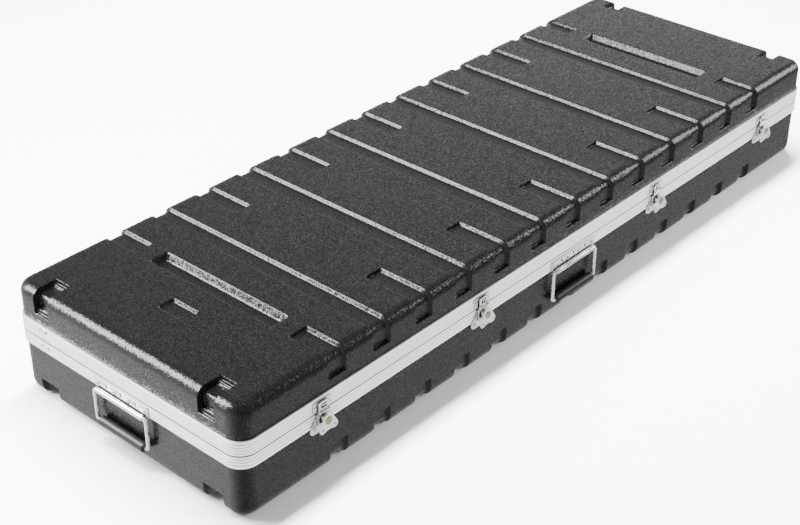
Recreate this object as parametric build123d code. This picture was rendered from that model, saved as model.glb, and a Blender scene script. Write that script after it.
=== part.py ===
from build123d import *
from math import asin, cos, sin
import os

# Long moulded carrying case for a keyboard, in millimetres. X runs along the case, the latches
# face -Y, the hinges face +Y and Z is up. The origin is the middle of the flat underside.
# Two moulded shells have their edges in the channels of a two-part metal band (the valance).

# Overall case
CASE_LENGTH = 1454.0  # over the valance
CASE_WIDTH = 483.0  # over the valance
CORNER_RADIUS = 30.0  # upright corners of the valance
BASE_DEPTH = 91.0  # base moulding below the valance
BASE_BAND = 21.0  # height of the valance half on the base
LID_BAND = 24.0  # height of the valance half on the lid
LID_DEPTH = 53.0  # lid moulding above the valance

# Mouldings
WALL = 3.6
BASE_EDGE_RADIUS = 20.0
LID_EDGE_RADIUS = 17.0

# Grooves pressed into both mouldings
GROOVE_PITCH = 90.0
GROOVE_STEPS = 6  # grooves each side of the middle one
GROOVE_WIDTH = 35.0
GROOVE_DEPTH = 5.5
GROOVE_DRAFT = 3.5  # how far each flank leans in over the groove's depth
SHORT_GROOVE_REACH = 103.5  # from the valance's face towards the middle of the lid
LAST_GROOVE_REACH = 78.5  # the same, on the grooves nearest the ends
LID_GROOVE_FOOT = 14.0  # groove's lower end above the valance
BASE_GROOVE_HEIGHT = 37.0  # groove's upper end above the floor
BASE_GROOVE_REACH = 60.0  # how far it runs in under the case

# Deep slots and the blank plate recess on top of the lid
SLOT_LENGTH = 258.0
SLOT_WIDTH = 35.0
SLOT_DEPTH = 11.0
RECESS_LENGTH = 54.0
RECESS_WIDTH = 31.0
RECESS_DEPTH = 5.0
RECESS_FROM_END = 112.5

# Stacking notches near the four upright corners
LID_NOTCH_WIDTH = 31.0
LID_NOTCH_FROM_SIDE = 66.0
LID_NOTCH_REACH = 42.0
LID_NOTCH_FOOT = 20.0
NOTCH_DEPTH = 10.5
NOTCH_SLOPE = 0.2  # how far each flank leans in, as a share of the depth
NOTCH_STEP = 5.0  # the shallow first step is this much longer at both ends
NOTCH_STEP_DEPTH = 5.0
BASE_NOTCH_WIDTH = 40.0
BASE_NOTCH_FROM_SIDE = 63.5
BASE_NOTCH_HEIGHT = 31.0
BASE_NOTCH_REACH = 36.0  # how far it runs in under the case

# Valance section
BAND_PROUD = 3.0  # outer skin, which stands proud of the mouldings
BAND_INNER = 1.6  # inner skin
EDGE_SEAT = 12.0  # how deep a moulding's edge sits in the valance
TONGUE_INSET = 3.5
TONGUE_WIDTH = 2.0
TONGUE_HEIGHT = 2.0
TONGUE_CLEARANCE = 0.5
LINE_WIDTH = 0.9
LINE_DEPTH = 0.6
LID_LINES = 4
BASE_LINES = 3
JOINT_GAP = 0.4  # butt joint of the bent extrusion
JOINT_FROM_SIDE = 68.0
JOINT_RIVET_SPREAD = 7.0  # from the joint to its rivets

# Rivets
RIVET_DIAMETER = 4.0
RIVET_HEAD = 7.0
RIVET_HEAD_HEIGHT = 1.9
SMALL_HEAD = 5.4
TAIL_HEIGHT = 1.2
TAIL_RATIO = 0.75  # tail's radius to the head's

# Hinges on the +Y side
HINGE_SPACING = 450.0
HINGE_LENGTH = 76.0
LEAF_HEIGHT = 17.5
LEAF_THICKNESS = 1.6
LEAF_CORNER = 2.0
KNUCKLE_RADIUS = 3.6
KNUCKLE_COUNT = 5
PIN_RADIUS = 1.6
HINGE_STANDOFF = 4.0  # pin centre from the valance's face
HINGE_RIVET_SPREAD = 27.0
RUNNING_CLEARANCE = 0.05  # radial, on every pin and spindle
SIDE_CLEARANCE = 0.3  # between neighbours that slide past each other

# Turn latches on the -Y side
INNER_LATCH = 232.0
OUTER_LATCH = 576.0
PLATE_THICKNESS = 1.6
SPINDLE_DROP = 9.5  # spindle centre below the split
LOBE_SPREAD = 16.5
LOBE_DROP = 15.5  # lobe centre below the spindle
LOBE_RADIUS = 7.5
SHOULDER_SPREAD = 9.0
SHOULDER_RISE = 3.5
SHOULDER_RADIUS = 3.5
SPINDLE_RADIUS = 2.5
SPINDLE_HEAD_RADIUS = 6.4
SPINDLE_HEAD_HEIGHT = 1.8
DRIVER_SLOT_WIDTH = 1.6
DRIVER_SLOT_LENGTH = 8.4
DRIVER_SLOT_DEPTH = 1.0
CAM_RADIUS = 5.4
CAM_THROW = 2.5  # cam centre from the spindle centre, half the hook's lift
CAM_PLAY = 0.8
SLIDER_THICKNESS = 1.5
SLIDER_RIM = 2.6
SLIDER_CORNER = 2.0
HOOK_PIVOT_RISE = 2.5  # above the split
HOOK_PIVOT_STANDOFF = 5.0
HOOK_BARREL_RADIUS = 2.6
HOOK_PIN_RADIUS = 1.2
HOOK_NECK = 10.0
HOOK_WIDTH = 20.0
HOOK_THICKNESS = 1.6
HOOK_CORNER = 1.2
HOOK_SILL = 5.8  # pivot to the lower edge of the window
HOOK_WINDOW_HEIGHT = 7.3
HOOK_WINDOW_WIDTH = 12.0
HOOK_HEAD = 3.4
LUG_WIDTH = 10.0
LUG_THICKNESS = 2.0
LUG_REACH = 5.8
KEEPER_WIDTH = 35.0
KEEPER_HEIGHT = 17.5
KEEPER_CORNER = 4.0
KEEPER_DROP = 0.5  # keeper's centre below the middle of the lid's band
KEEPER_RIVET_SPREAD = 13.8
WING_STANDOFF = 12.2
WING_THICKNESS = 1.8
WING_HUB_RADIUS = 5.5
WING_SHOULDER_RADIUS = 10.0
WING_LOBE_SPREAD = 11.7
WING_LOBE_DROP = 12.0
WING_LOBE_RADIUS = 6.2
WING_HOLE_RADIUS = 1.5
WING_WAIST_RADIUS = 18.0
WING_WAIST_DROP = 15.8

# Drop handles on the -Y side and on both ends
BRACKET_WIDTH = 116.0
BRACKET_RISE = 16.0  # above the valance's lower edge
BRACKET_THICKNESS = 1.6
BRACKET_CORNER = 5.0
BRACKET_RIVETS = (-50.5, -15.0, 15.0, 50.5)
BRACKET_RIVET_RISE = 7.5
BRACKET_SLOTS = (-31.0, 0.0, 31.0)
BRACKET_SLOT_WIDTH = 3.0
BRACKET_SLOT_HEIGHT = 6.0
BRACKET_SLOT_CORNER = 1.4
ROD_RADIUS = 3.0
ROD_DROP = 2.5  # rod centre below the valance's lower edge
ROD_STANDOFF = 5.0
CURL_THICKNESS = 1.6
CURL_LIP = 0.8  # how far the curl reaches below the rod's centre
TAB_WIDTH = 5.0
TAB_SPREAD = 31.0
BAIL_WIDTH = 111.0  # between leg centres
BAIL_DROP = 52.5
BAIL_BEND = 5.0
GRIP_RADIUS = 7.3
GRIP_END_GAP = 2.5  # from the bends to the grip's ends
GRIP_EDGE_RADIUS = 1.5

# Rubber feet on the hinge side, which carry the case when it stands on that side
FOOT_RADIUS = 9.0
FOOT_SPACING = 580.0
FOOT_PROUD = 10.0  # beyond the valance
FOOT_EDGE = 2.0
BASE_FOOT_HEIGHT = 34.0
LID_FOOT_DROP = 26.0  # foot centre below the top of the lid

# Foam lining
PAD_GAP = 0.3
FLOOR_PAD_THICKNESS = 15.0
LID_PAD_THICKNESS = 15.0
LID_PAD_WIDTH = 400.0
RAIL_THICKNESS = 24.0
RAIL_TOP = 80.0
END_PAD_LENGTH = 60.0
SLOT_PAD_GAP = 6.0

# Worked out from the sizes above
SPLIT = BASE_DEPTH + BASE_BAND
BAND_TOP = SPLIT + LID_BAND
CASE_TOP = BAND_TOP + LID_DEPTH
LINED_INSET = BAND_PROUD + WALL + GROOVE_DEPTH + PAD_GAP
GROOVE_SLOPE = GROOVE_DRAFT / GROOVE_DEPTH
CUT = 2.0  # how far cutting tools run past the faces they cut
OVERLAP = 2.0  # how far one outline runs into the next before they are joined


def slab(inset, low, high):
    """Solid with the case's rounded outline, drawn in from the valance's face."""
    outline = RectangleRounded(CASE_LENGTH - 2 * inset, CASE_WIDTH - 2 * inset, CORNER_RADIUS - inset)
    return Pos(0, 0, low) * extrude(outline, high - low)


def ring(outer_inset, inner_inset, low, high):
    """Band between two insets."""
    return slab(outer_inset, low, high) - slab(inner_inset, low - CUT, high + CUT)


def crowned_slab(inset, low, crown, edge_radius):
    """Slab whose upper edge is rounded."""
    body = slab(inset, low, crown)
    return fillet(body.faces().sort_by(Axis.Z)[-1].edges(), edge_radius)


def channel(width, depth, length, slope=GROOVE_SLOPE):
    """Bar along +Y whose flanks lean in from full width at z = 0 to its floor at z = -depth."""
    half = width / 2
    floor_half = half - slope * depth
    points = [(-half, CUT), (-half, 0), (-floor_half, -depth), (floor_half, -depth), (half, 0), (half, CUT)]
    return extrude(Plane.XZ * make_face(Polyline(*points, close=True)), -length)


def edge_groove(turn, place, width, reach, foot, crown, depth, slope=GROOVE_SLOPE):
    """Two bars that cut one groove over a top edge and down the wall.

    turn is the wall's direction in degrees (0 is -Y) and place the position along that wall.
    """
    span = CASE_WIDTH if turn in (0, 180) else CASE_LENGTH
    wall_face = span / 2 - BAND_PROUD
    top = Pos(place, -wall_face - CUT, crown) * channel(width, depth, reach - BAND_PROUD + CUT, slope)
    side = Pos(place, -wall_face, foot) * Rot(90, 0, 0) * channel(width, depth, crown - foot, slope)
    return [Rot(0, 0, turn) * top, Rot(0, 0, turn) * side]


def groove_tools(grooves, crown, grow):
    """All groove bars, made larger all round by grow for the inside of the moulding."""
    tools = []
    depth = GROOVE_DEPTH + grow + CUT
    for turn, place, width, reach, foot in grooves:
        tools += edge_groove(turn, place, width + 2 * grow, reach + grow, foot - grow, crown, depth)
    return tools


def pocket_tool(pocket, crown, grow):
    """Bar that cuts one pocket in the crown; the pocket's long way is Y."""
    x, length, width, depth = pocket
    bar = channel(width + 2 * grow, depth + grow, length + 2 * grow)
    return Pos(x, -length / 2 - grow, crown) * bar


def notch_tool(notch, height, edge_radius, grow):
    """Cut for one corner notch: its bars, less a core that follows the moulding's rounded edge."""
    turn, place, width, reach, foot, depth = notch
    size = (turn, place, width + 2 * grow, reach + grow, foot - grow)
    top, side = edge_groove(*size, height, depth + grow + CUT, NOTCH_SLOPE)
    drop = depth + grow
    core = crowned_slab(BAND_PROUD + drop, -CUT, height - drop, edge_radius - drop)
    return top + side - core


def moulding(height, edge_radius, grooves, pockets, notches):
    """Thermoformed tub, crown up and rim at z = 0, whose wall follows its grooves inside and out."""
    outer = crowned_slab(BAND_PROUD, 0, height, edge_radius) - groove_tools(grooves, height, 0)
    outer += crowned_slab(BAND_PROUD + GROOVE_DEPTH, 0, height - GROOVE_DEPTH, edge_radius - GROOVE_DEPTH)
    inset = BAND_PROUD + WALL
    inner = crowned_slab(inset, -CUT, height - WALL, edge_radius - WALL) - groove_tools(grooves, height, WALL)
    inner_edge = edge_radius - WALL - GROOVE_DEPTH
    inner += crowned_slab(inset + GROOVE_DEPTH, -CUT, height - WALL - GROOVE_DEPTH, inner_edge)
    for pocket in pockets:
        outer -= pocket_tool(pocket, height, 0)
        inner -= pocket_tool(pocket, height, WALL)
    for notch in notches:
        outer -= notch_tool(notch, height, edge_radius, 0)
        inner -= notch_tool(notch, height, edge_radius, WALL)
    return outer - inner


def lid_grooves():
    """Grooves across the lid and over its ends, as (wall, place, width, reach, foot)."""
    foot = EDGE_SEAT + LID_GROOVE_FOOT
    grooves = []
    for step in range(-GROOVE_STEPS, GROOVE_STEPS + 1):
        reach = SHORT_GROOVE_REACH
        if abs(step) == GROOVE_STEPS:
            reach = LAST_GROOVE_REACH
        if step % 2:
            reach = CASE_WIDTH / 2 + 1
        grooves += [(turn, step * GROOVE_PITCH, GROOVE_WIDTH, reach, foot) for turn in (0, 180)]
    return grooves


def lid_notches():
    """Stepped notches over the lid's ends, as (wall, place, width, reach, foot, depth)."""
    foot = EDGE_SEAT + LID_NOTCH_FOOT
    place = CASE_WIDTH / 2 - LID_NOTCH_FROM_SIDE
    notches = []
    for longer, depth in ((NOTCH_STEP, NOTCH_STEP_DEPTH), (0, NOTCH_DEPTH)):
        size = (LID_NOTCH_WIDTH, LID_NOTCH_REACH + longer, foot - longer, depth)
        notches += [(turn, side * place, *size) for turn in (90, -90) for side in (-1, 1)]
    return notches


def base_grooves():
    """Grooves of the base, seen with its floor up."""
    height = BASE_DEPTH + EDGE_SEAT
    foot = height - BASE_GROOVE_HEIGHT
    grooves = []
    for step in range(-GROOVE_STEPS, GROOVE_STEPS + 1):
        grooves += [(turn, step * GROOVE_PITCH, GROOVE_WIDTH, BASE_GROOVE_REACH, foot) for turn in (0, 180)]
    return grooves


def base_notches():
    """Notches round the base's lower edge at its ends, seen with its floor up."""
    place = CASE_WIDTH / 2 - BASE_NOTCH_FROM_SIDE
    foot = BASE_DEPTH + EDGE_SEAT - BASE_NOTCH_HEIGHT
    size = (BASE_NOTCH_WIDTH, BASE_NOTCH_REACH, foot, NOTCH_DEPTH)
    return [(turn, side * place, *size) for turn in (90, -90) for side in (-1, 1)]


def floor_down(shape):
    """Turns something drawn with the base's floor up into its place."""
    return Pos(0, 0, BASE_DEPTH + EDGE_SEAT) * Rot(180, 0, 0) * shape


def slot_place():
    """X of the deep slots, in line with the last grooves."""
    return GROOVE_STEPS * GROOVE_PITCH


def make_lid_shell():
    """Upper moulding, from its edge inside the valance to the top of the case."""
    height = LID_DEPTH + EDGE_SEAT
    pockets = [(side * slot_place(), SLOT_LENGTH, SLOT_WIDTH, SLOT_DEPTH) for side in (-1, 1)]
    pockets.append((RECESS_FROM_END - CASE_LENGTH / 2, RECESS_LENGTH, RECESS_WIDTH, RECESS_DEPTH))
    shell = moulding(height, LID_EDGE_RADIUS, lid_grooves(), pockets, lid_notches())
    shell = Pos(0, 0, BAND_TOP - EDGE_SEAT) * shell
    return shell - holes(lid_fixings())


def make_base_shell():
    """Lower moulding, from the underside to its edge inside the valance."""
    shell = moulding(BASE_DEPTH + EDGE_SEAT, BASE_EDGE_RADIUS, base_grooves(), [], base_notches())
    return floor_down(shell) - holes(base_fixings())


def line_grooves(low, high, count):
    """Fine decorative lines, evenly spaced up one valance half."""
    pitch = (high - low) / (count + 1)
    lines = [low + pitch * (number + 1) for number in range(count)]
    return [ring(-CUT, LINE_DEPTH, z - LINE_WIDTH / 2, z + LINE_WIDTH / 2) for z in lines]


def joint_cut():
    """Butt joint where the bent extrusion meets itself, on the -X end."""
    y = CASE_WIDTH / 2 - JOINT_FROM_SIDE
    depth = BAND_PROUD + WALL + BAND_INNER + 2 * CUT
    height = 2 * (BASE_BAND + LID_BAND)
    return Pos(-CASE_LENGTH / 2 - CUT + depth / 2, y, SPLIT) * Box(depth, JOINT_GAP, height)


def make_base_valance():
    """Lower half of the metal band: a channel for the base's edge and a groove for the lid's tongue."""
    seat_top = BASE_DEPTH + EDGE_SEAT
    band = ring(0, BAND_PROUD + WALL + BAND_INNER, BASE_DEPTH, SPLIT)
    band -= ring(BAND_PROUD, BAND_PROUD + WALL, BASE_DEPTH - CUT, seat_top)
    groove_outer = TONGUE_INSET - TONGUE_CLEARANCE
    groove_inner = TONGUE_INSET + TONGUE_WIDTH + TONGUE_CLEARANCE
    band -= ring(groove_outer, groove_inner, SPLIT - TONGUE_HEIGHT - TONGUE_CLEARANCE, SPLIT + CUT)
    band -= line_grooves(BASE_DEPTH, SPLIT, BASE_LINES)
    return band - joint_cut() - holes(base_fixings())


def make_lid_valance():
    """Upper half of the metal band, with the tongue that keeps it in line when the case is shut."""
    seat_low = BAND_TOP - EDGE_SEAT
    band = ring(0, BAND_PROUD + WALL + BAND_INNER, SPLIT, BAND_TOP)
    band -= ring(BAND_PROUD, BAND_PROUD + WALL, seat_low, BAND_TOP + CUT)
    band += ring(TONGUE_INSET, TONGUE_INSET + TONGUE_WIDTH, SPLIT - TONGUE_HEIGHT, SPLIT)
    band -= line_grooves(SPLIT, BAND_TOP, LID_LINES)
    return band - joint_cut() - holes(lid_fixings())


# Hardware is drawn on a wall that faces -Y, with the valance's face at y = 0, and then placed.
def front(x=0.0):
    """Place on the latch side."""
    return Pos(x, -CASE_WIDTH / 2, 0)


def back(x=0.0):
    """Place on the hinge side."""
    return Pos(x, CASE_WIDTH / 2, 0) * Rot(0, 0, 180)


def left_end():
    """Place on the -X end."""
    return Pos(-CASE_LENGTH / 2, 0, 0) * Rot(0, 0, -90)


def right_end():
    """Place on the +X end."""
    return Pos(CASE_LENGTH / 2, 0, 0) * Rot(0, 0, 90)


HANDLE_PLACES = {"front": front, "left": left_end, "right": right_end}
LATCH_PLACES = (-OUTER_LATCH, -INNER_LATCH, INNER_LATCH, OUTER_LATCH)
HINGE_PLACES = (-HINGE_SPACING, 0.0, HINGE_SPACING)
BAND_GRIP = BAND_PROUD + WALL + BAND_INNER  # metal and moulding together
SHELL_GRIP = BAND_PROUD + WALL  # through the moulding alone, over the step to its face


def rivet(head_diameter, grip):
    """Domed rivet along +Y: the head's underside at y = 0 and the tail past the grip."""
    head = head_diameter / 2
    shank = RIVET_DIAMETER / 2
    dome = (head**2 + RIVET_HEAD_HEIGHT**2) / (2 * RIVET_HEAD_HEIGHT)
    half_angle = asin(head / dome) / 2
    centre = dome - RIVET_HEAD_HEIGHT
    mid_point = (dome * sin(half_angle), centre - dome * cos(half_angle))
    tail = head * TAIL_RATIO
    tail_end = grip + TAIL_HEIGHT
    arc = ThreePointArc((0, -RIVET_HEAD_HEIGHT), mid_point, (head, 0))
    points = [(head, 0), (shank, 0), (shank, grip), (tail, grip), (tail, tail_end), (0, tail_end)]
    rest = Polyline(*points, (0, -RIVET_HEAD_HEIGHT))
    return revolve(make_face(Wire([arc] + rest.edges())), Axis.Y)


def drill(grip):
    """Hole for a rivet's shank, through everything that it holds."""
    return Pos(0, grip / 2, 0) * Rot(90, 0, 0) * Cylinder(RIVET_DIAMETER / 2, grip + 2 * CUT)


def handle_fixings():
    """Rivets of the three handle brackets, as (place, head, grip)."""
    z = BASE_DEPTH + BRACKET_RIVET_RISE
    grip = BRACKET_THICKNESS + BAND_GRIP
    fixings = []
    for place in HANDLE_PLACES.values():
        fixings += [(place() * Pos(x, -BRACKET_THICKNESS, z), RIVET_HEAD, grip) for x in BRACKET_RIVETS]
    return fixings


def latch_fixings():
    """Rivets through the lobes of the latch plates into the base moulding."""
    z = SPLIT - SPINDLE_DROP - LOBE_DROP
    grip = PLATE_THICKNESS + SHELL_GRIP
    fixings = []
    for x in LATCH_PLACES:
        spots = [front(x + side * LOBE_SPREAD) for side in (-1, 1)]
        fixings += [(spot * Pos(0, -PLATE_THICKNESS, z), RIVET_HEAD, grip) for spot in spots]
    return fixings


def keeper_centre():
    """Height of the keepers, whose lug is 0.3 mm under the closed hook's head."""
    return BAND_TOP - LID_BAND / 2 - KEEPER_DROP


def keeper_fixings():
    """Rivets of the four keepers on the lid."""
    grip = PLATE_THICKNESS + BAND_GRIP
    fixings = []
    for x in LATCH_PLACES:
        spots = [front(x + side * KEEPER_RIVET_SPREAD) for side in (-1, 1)]
        fixings += [(spot * Pos(0, -PLATE_THICKNESS, keeper_centre()), SMALL_HEAD, grip) for spot in spots]
    return fixings


def hinge_fixings(z):
    """Rivets of one row of hinge leaves."""
    grip = LEAF_THICKNESS + BAND_GRIP
    fixings = []
    for x in HINGE_PLACES:
        spots = [back(x + step * HINGE_RIVET_SPREAD) for step in (-1, 0, 1)]
        fixings += [(spot * Pos(0, -LEAF_THICKNESS, z), SMALL_HEAD, grip) for spot in spots]
    return fixings


def hinge_rivet_rise():
    """Height of the hinge rivets from the split."""
    return KNUCKLE_RADIUS + LEAF_HEIGHT / 2


def joint_fixings(z):
    """Rivets each side of the valance's butt joint, which hold a backing strip inside."""
    x = JOINT_FROM_SIDE - CASE_WIDTH / 2
    places = [left_end() * Pos(x + side * JOINT_RIVET_SPREAD, 0, z) for side in (-1, 1)]
    return [(place, SMALL_HEAD, BAND_GRIP) for place in places]


def base_joint_fixings():
    """Joint rivets in the lower half of the valance."""
    return joint_fixings(BASE_DEPTH + BASE_BAND / 2)


def lid_joint_fixings():
    """Joint rivets in the upper half of the valance."""
    return joint_fixings(BAND_TOP - EDGE_SEAT / 2)


def base_hinge_fixings():
    """Rivets of the hinge leaves on the base."""
    return hinge_fixings(SPLIT - hinge_rivet_rise())


def lid_hinge_fixings():
    """Rivets of the hinge leaves on the lid."""
    return hinge_fixings(SPLIT + hinge_rivet_rise())


def base_fixings():
    """Every rivet that passes through the base moulding or its valance."""
    return handle_fixings() + latch_fixings() + base_hinge_fixings() + base_joint_fixings()


def lid_fixings():
    """Every rivet that passes through the lid moulding or its valance."""
    return keeper_fixings() + lid_hinge_fixings() + lid_joint_fixings()


def rivets(fixings):
    """One separate rivet solid at each fixing."""
    return Compound([place * rivet(head, grip) for place, head, grip in fixings])


def holes(fixings):
    """Drilled holes at each fixing."""
    return [place * drill(grip) for place, head, grip in fixings]


def rod_along_x(radius, start, end, standoff, z):
    """Round bar along X on the front wall."""
    bar = Pos((start + end) / 2, -standoff, z) * Rot(0, 90, 0)
    return bar * Cylinder(radius, end - start)


def knuckle_spans(owner):
    """X spans of the hinge knuckles that belong to one leaf: 0 is the base's, 1 the lid's."""
    pitch = HINGE_LENGTH / KNUCKLE_COUNT
    spans = []
    for number in range(KNUCKLE_COUNT):
        if number % 2 == owner:
            low = -HINGE_LENGTH / 2 + number * pitch
            spans.append((low + SIDE_CLEARANCE / 2, low + pitch - SIDE_CLEARANCE / 2))
    return spans


def make_hinge_leaf(owner, way):
    """Leaf and its knuckles, with way -1 for the leaf below the split and 1 for the one above."""
    near = KNUCKLE_RADIUS + 2 * SIDE_CLEARANCE
    far = near + LEAF_HEIGHT
    plate_height = far - near
    z = SPLIT + way * (near + far) / 2
    outline = RectangleRounded(HINGE_LENGTH, plate_height, LEAF_CORNER)
    leaf = Pos(0, 0, z) * extrude(Plane.XZ * outline, LEAF_THICKNESS)
    web_height = near + OVERLAP
    standoff = HINGE_STANDOFF - KNUCKLE_RADIUS + LEAF_THICKNESS / 2
    for start, end in knuckle_spans(owner):
        web = Box(end - start, LEAF_THICKNESS, web_height)
        leaf += Pos((start + end) / 2, -standoff, SPLIT + way * web_height / 2) * web
        leaf += rod_along_x(KNUCKLE_RADIUS, start, end, HINGE_STANDOFF, SPLIT)
    half = HINGE_LENGTH / 2 + CUT
    leaf -= rod_along_x(PIN_RADIUS + RUNNING_CLEARANCE, -half, half, HINGE_STANDOFF, SPLIT)
    return leaf


def place_hinge_leaf(leaf, x, fixings):
    """Leaf at one hinge place, drilled for its rivets."""
    return back(x) * leaf - holes(fixings)


def make_hinge_pins():
    """One pin for each hinge."""
    half = HINGE_LENGTH / 2
    pin = rod_along_x(PIN_RADIUS, -half, half, HINGE_STANDOFF, SPLIT)
    return Compound([back(x) * pin for x in HINGE_PLACES])


def spindle_height():
    """Height of the latch spindles."""
    return SPLIT - SPINDLE_DROP


def pivot_height():
    """Height of the hook's pivot when the latch is shut."""
    return SPLIT + HOOK_PIVOT_RISE


def slider_standoff():
    """Near face of the slider, just clear of the latch plate."""
    return PLATE_THICKNESS + SIDE_CLEARANCE


def round_bar(radius, near, far, x=0.0, z=0.0):
    """Bar that stands out from the front wall between two standoffs."""
    return Pos(x, -(near + far) / 2, z) * Rot(90, 0, 0) * Cylinder(radius, far - near)


def flat_piece(outline, near, thickness):
    """Sheet piece on the front wall, with its near face at a standoff."""
    return Pos(0, -near, 0) * extrude(Plane.XZ * outline, thickness)


def make_latch_plate():
    """Riveted base plate with two lower lobes, bored for the spindle."""
    z = spindle_height()
    lobes = [Pos(side * LOBE_SPREAD, z - LOBE_DROP) * Circle(LOBE_RADIUS) for side in (-1, 1)]
    shoulders = [Pos(side * SHOULDER_SPREAD, z + SHOULDER_RISE) * Circle(SHOULDER_RADIUS) for side in (-1, 1)]
    outline = make_hull([edge for shape in lobes + shoulders for edge in shape.edges()])
    plate = flat_piece(outline, 0, PLATE_THICKNESS)
    return plate - round_bar(SPINDLE_RADIUS + RUNNING_CLEARANCE, -CUT, PLATE_THICKNESS + CUT, 0, z)


def slider_slot():
    """Width and height of the slider's slot, in which the cam turns."""
    width = 2 * (CAM_RADIUS + CAM_THROW) + CAM_PLAY
    height = 2 * max(CAM_RADIUS + CAM_PLAY, CAM_THROW + SPINDLE_RADIUS + SIDE_CLEARANCE)
    return width, height


def make_latch_slider():
    """Slotted plate that the cam lifts, with the middle barrel of the hook's pivot."""
    slot_width, slot_height = slider_slot()
    slot_z = spindle_height() - CAM_THROW
    low = slot_z - slot_height / 2 - SLIDER_RIM
    high = pivot_height() - HOOK_BARREL_RADIUS - SIDE_CLEARANCE
    width = slot_width + 2 * SLIDER_RIM
    outline = Pos(0, (low + high) / 2) * RectangleRounded(width, high - low, SLIDER_CORNER)
    neck_low = slot_z + slot_height / 2 + SIDE_CLEARANCE
    neck_high = pivot_height()
    outline += Pos(0, (neck_low + neck_high) / 2) * Rectangle(HOOK_NECK, neck_high - neck_low)
    outline -= Pos(0, slot_z) * RectangleRounded(slot_width, slot_height, CAM_RADIUS)
    slider = flat_piece(outline, slider_standoff(), SLIDER_THICKNESS)
    half = HOOK_NECK / 2
    slider += rod_along_x(HOOK_BARREL_RADIUS, -half, half, HOOK_PIVOT_STANDOFF, pivot_height())
    bore = HOOK_PIN_RADIUS + RUNNING_CLEARANCE
    return slider - rod_along_x(bore, -HOOK_WIDTH, HOOK_WIDTH, HOOK_PIVOT_STANDOFF, pivot_height())


def make_latch_hook():
    """Window frame that hangs over the keeper's lug, with its end barrels and pin."""
    z = pivot_height()
    sill_low = z + HOOK_BARREL_RADIUS + SIDE_CLEARANCE
    window_low = z + HOOK_SILL
    window_high = window_low + HOOK_WINDOW_HEIGHT
    top = window_high + HOOK_HEAD
    outline = Pos(0, (sill_low + top) / 2) * RectangleRounded(HOOK_WIDTH, top - sill_low, HOOK_CORNER)
    outline -= Pos(0, (window_low + window_high) / 2) * Rectangle(HOOK_WINDOW_WIDTH, HOOK_WINDOW_HEIGHT)
    ear_width = (HOOK_WIDTH - HOOK_NECK) / 2 - SIDE_CLEARANCE
    ear_top = sill_low + HOOK_CORNER
    for side in (-1, 1):
        x = side * (HOOK_WIDTH - ear_width) / 2
        outline += Pos(x, (z + ear_top) / 2) * Rectangle(ear_width, ear_top - z)
    hook = flat_piece(outline, HOOK_PIVOT_STANDOFF - HOOK_THICKNESS / 2, HOOK_THICKNESS)
    half = HOOK_WIDTH / 2
    for start, end in ((-half, -half + ear_width), (half - ear_width, half)):
        hook += rod_along_x(HOOK_BARREL_RADIUS, start, end, HOOK_PIVOT_STANDOFF, z)
    return hook + rod_along_x(HOOK_PIN_RADIUS, -half, half, HOOK_PIVOT_STANDOFF, z)


def lug_top():
    """Top of the keeper's lug, just under the window's upper edge."""
    return pivot_height() + HOOK_SILL + HOOK_WINDOW_HEIGHT - SIDE_CLEARANCE


def make_latch_keeper():
    """Keeper plate on the lid with the shelf-shaped lug that the hook pulls on."""
    outline = Pos(0, keeper_centre()) * RectangleRounded(KEEPER_WIDTH, KEEPER_HEIGHT, KEEPER_CORNER)
    keeper = flat_piece(outline, 0, PLATE_THICKNESS)
    lug = Box(LUG_WIDTH, LUG_REACH + PLATE_THICKNESS, LUG_THICKNESS)
    return keeper + Pos(0, -(LUG_REACH + PLATE_THICKNESS) / 2, lug_top() - LUG_THICKNESS / 2) * lug


def make_latch_wing():
    """Butterfly wing plate and the hub that holds it off the slider."""
    z = spindle_height()
    lobe_z = z - WING_LOBE_DROP
    circles = [Pos(0, z) * Circle(WING_SHOULDER_RADIUS)]
    circles += [Pos(side * WING_LOBE_SPREAD, lobe_z) * Circle(WING_LOBE_RADIUS) for side in (-1, 1)]
    outline = make_hull([edge for circle in circles for edge in circle.edges()])
    outline -= Pos(0, z - WING_WAIST_DROP - WING_WAIST_RADIUS) * Circle(WING_WAIST_RADIUS)
    for side in (-1, 1):
        outline -= Pos(side * WING_LOBE_SPREAD, lobe_z) * Circle(WING_HOLE_RADIUS)
    wing = flat_piece(outline, WING_STANDOFF, WING_THICKNESS)
    wing += round_bar(WING_HUB_RADIUS, cam_front(), WING_STANDOFF, 0, z)
    return wing - round_bar(SPINDLE_RADIUS, cam_front() - CUT, WING_STANDOFF + WING_THICKNESS + CUT, 0, z)


def cam_front():
    """Outer face of the cam, clear of the slider's outer face."""
    return slider_standoff() + SLIDER_THICKNESS + SIDE_CLEARANCE


def make_latch_spindle():
    """Spindle with its eccentric cam and slotted head."""
    z = spindle_height()
    head_near = WING_STANDOFF + WING_THICKNESS
    head_far = head_near + SPINDLE_HEAD_HEIGHT
    spindle = round_bar(SPINDLE_RADIUS, SIDE_CLEARANCE, head_near, 0, z)
    spindle += round_bar(CAM_RADIUS, slider_standoff(), cam_front(), 0, z - CAM_THROW)
    head = round_bar(SPINDLE_HEAD_RADIUS, head_near, head_far, 0, z)
    head = chamfer(head.faces().sort_by(Axis.Y)[0].edges(), SPINDLE_HEAD_HEIGHT / 3)
    slot = Box(DRIVER_SLOT_WIDTH, 2 * DRIVER_SLOT_DEPTH, DRIVER_SLOT_LENGTH)
    return spindle + head - Pos(0, -head_far, z) * slot


def rod_height():
    """Height of the bails' pivot rods."""
    return BASE_DEPTH - ROD_DROP


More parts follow.
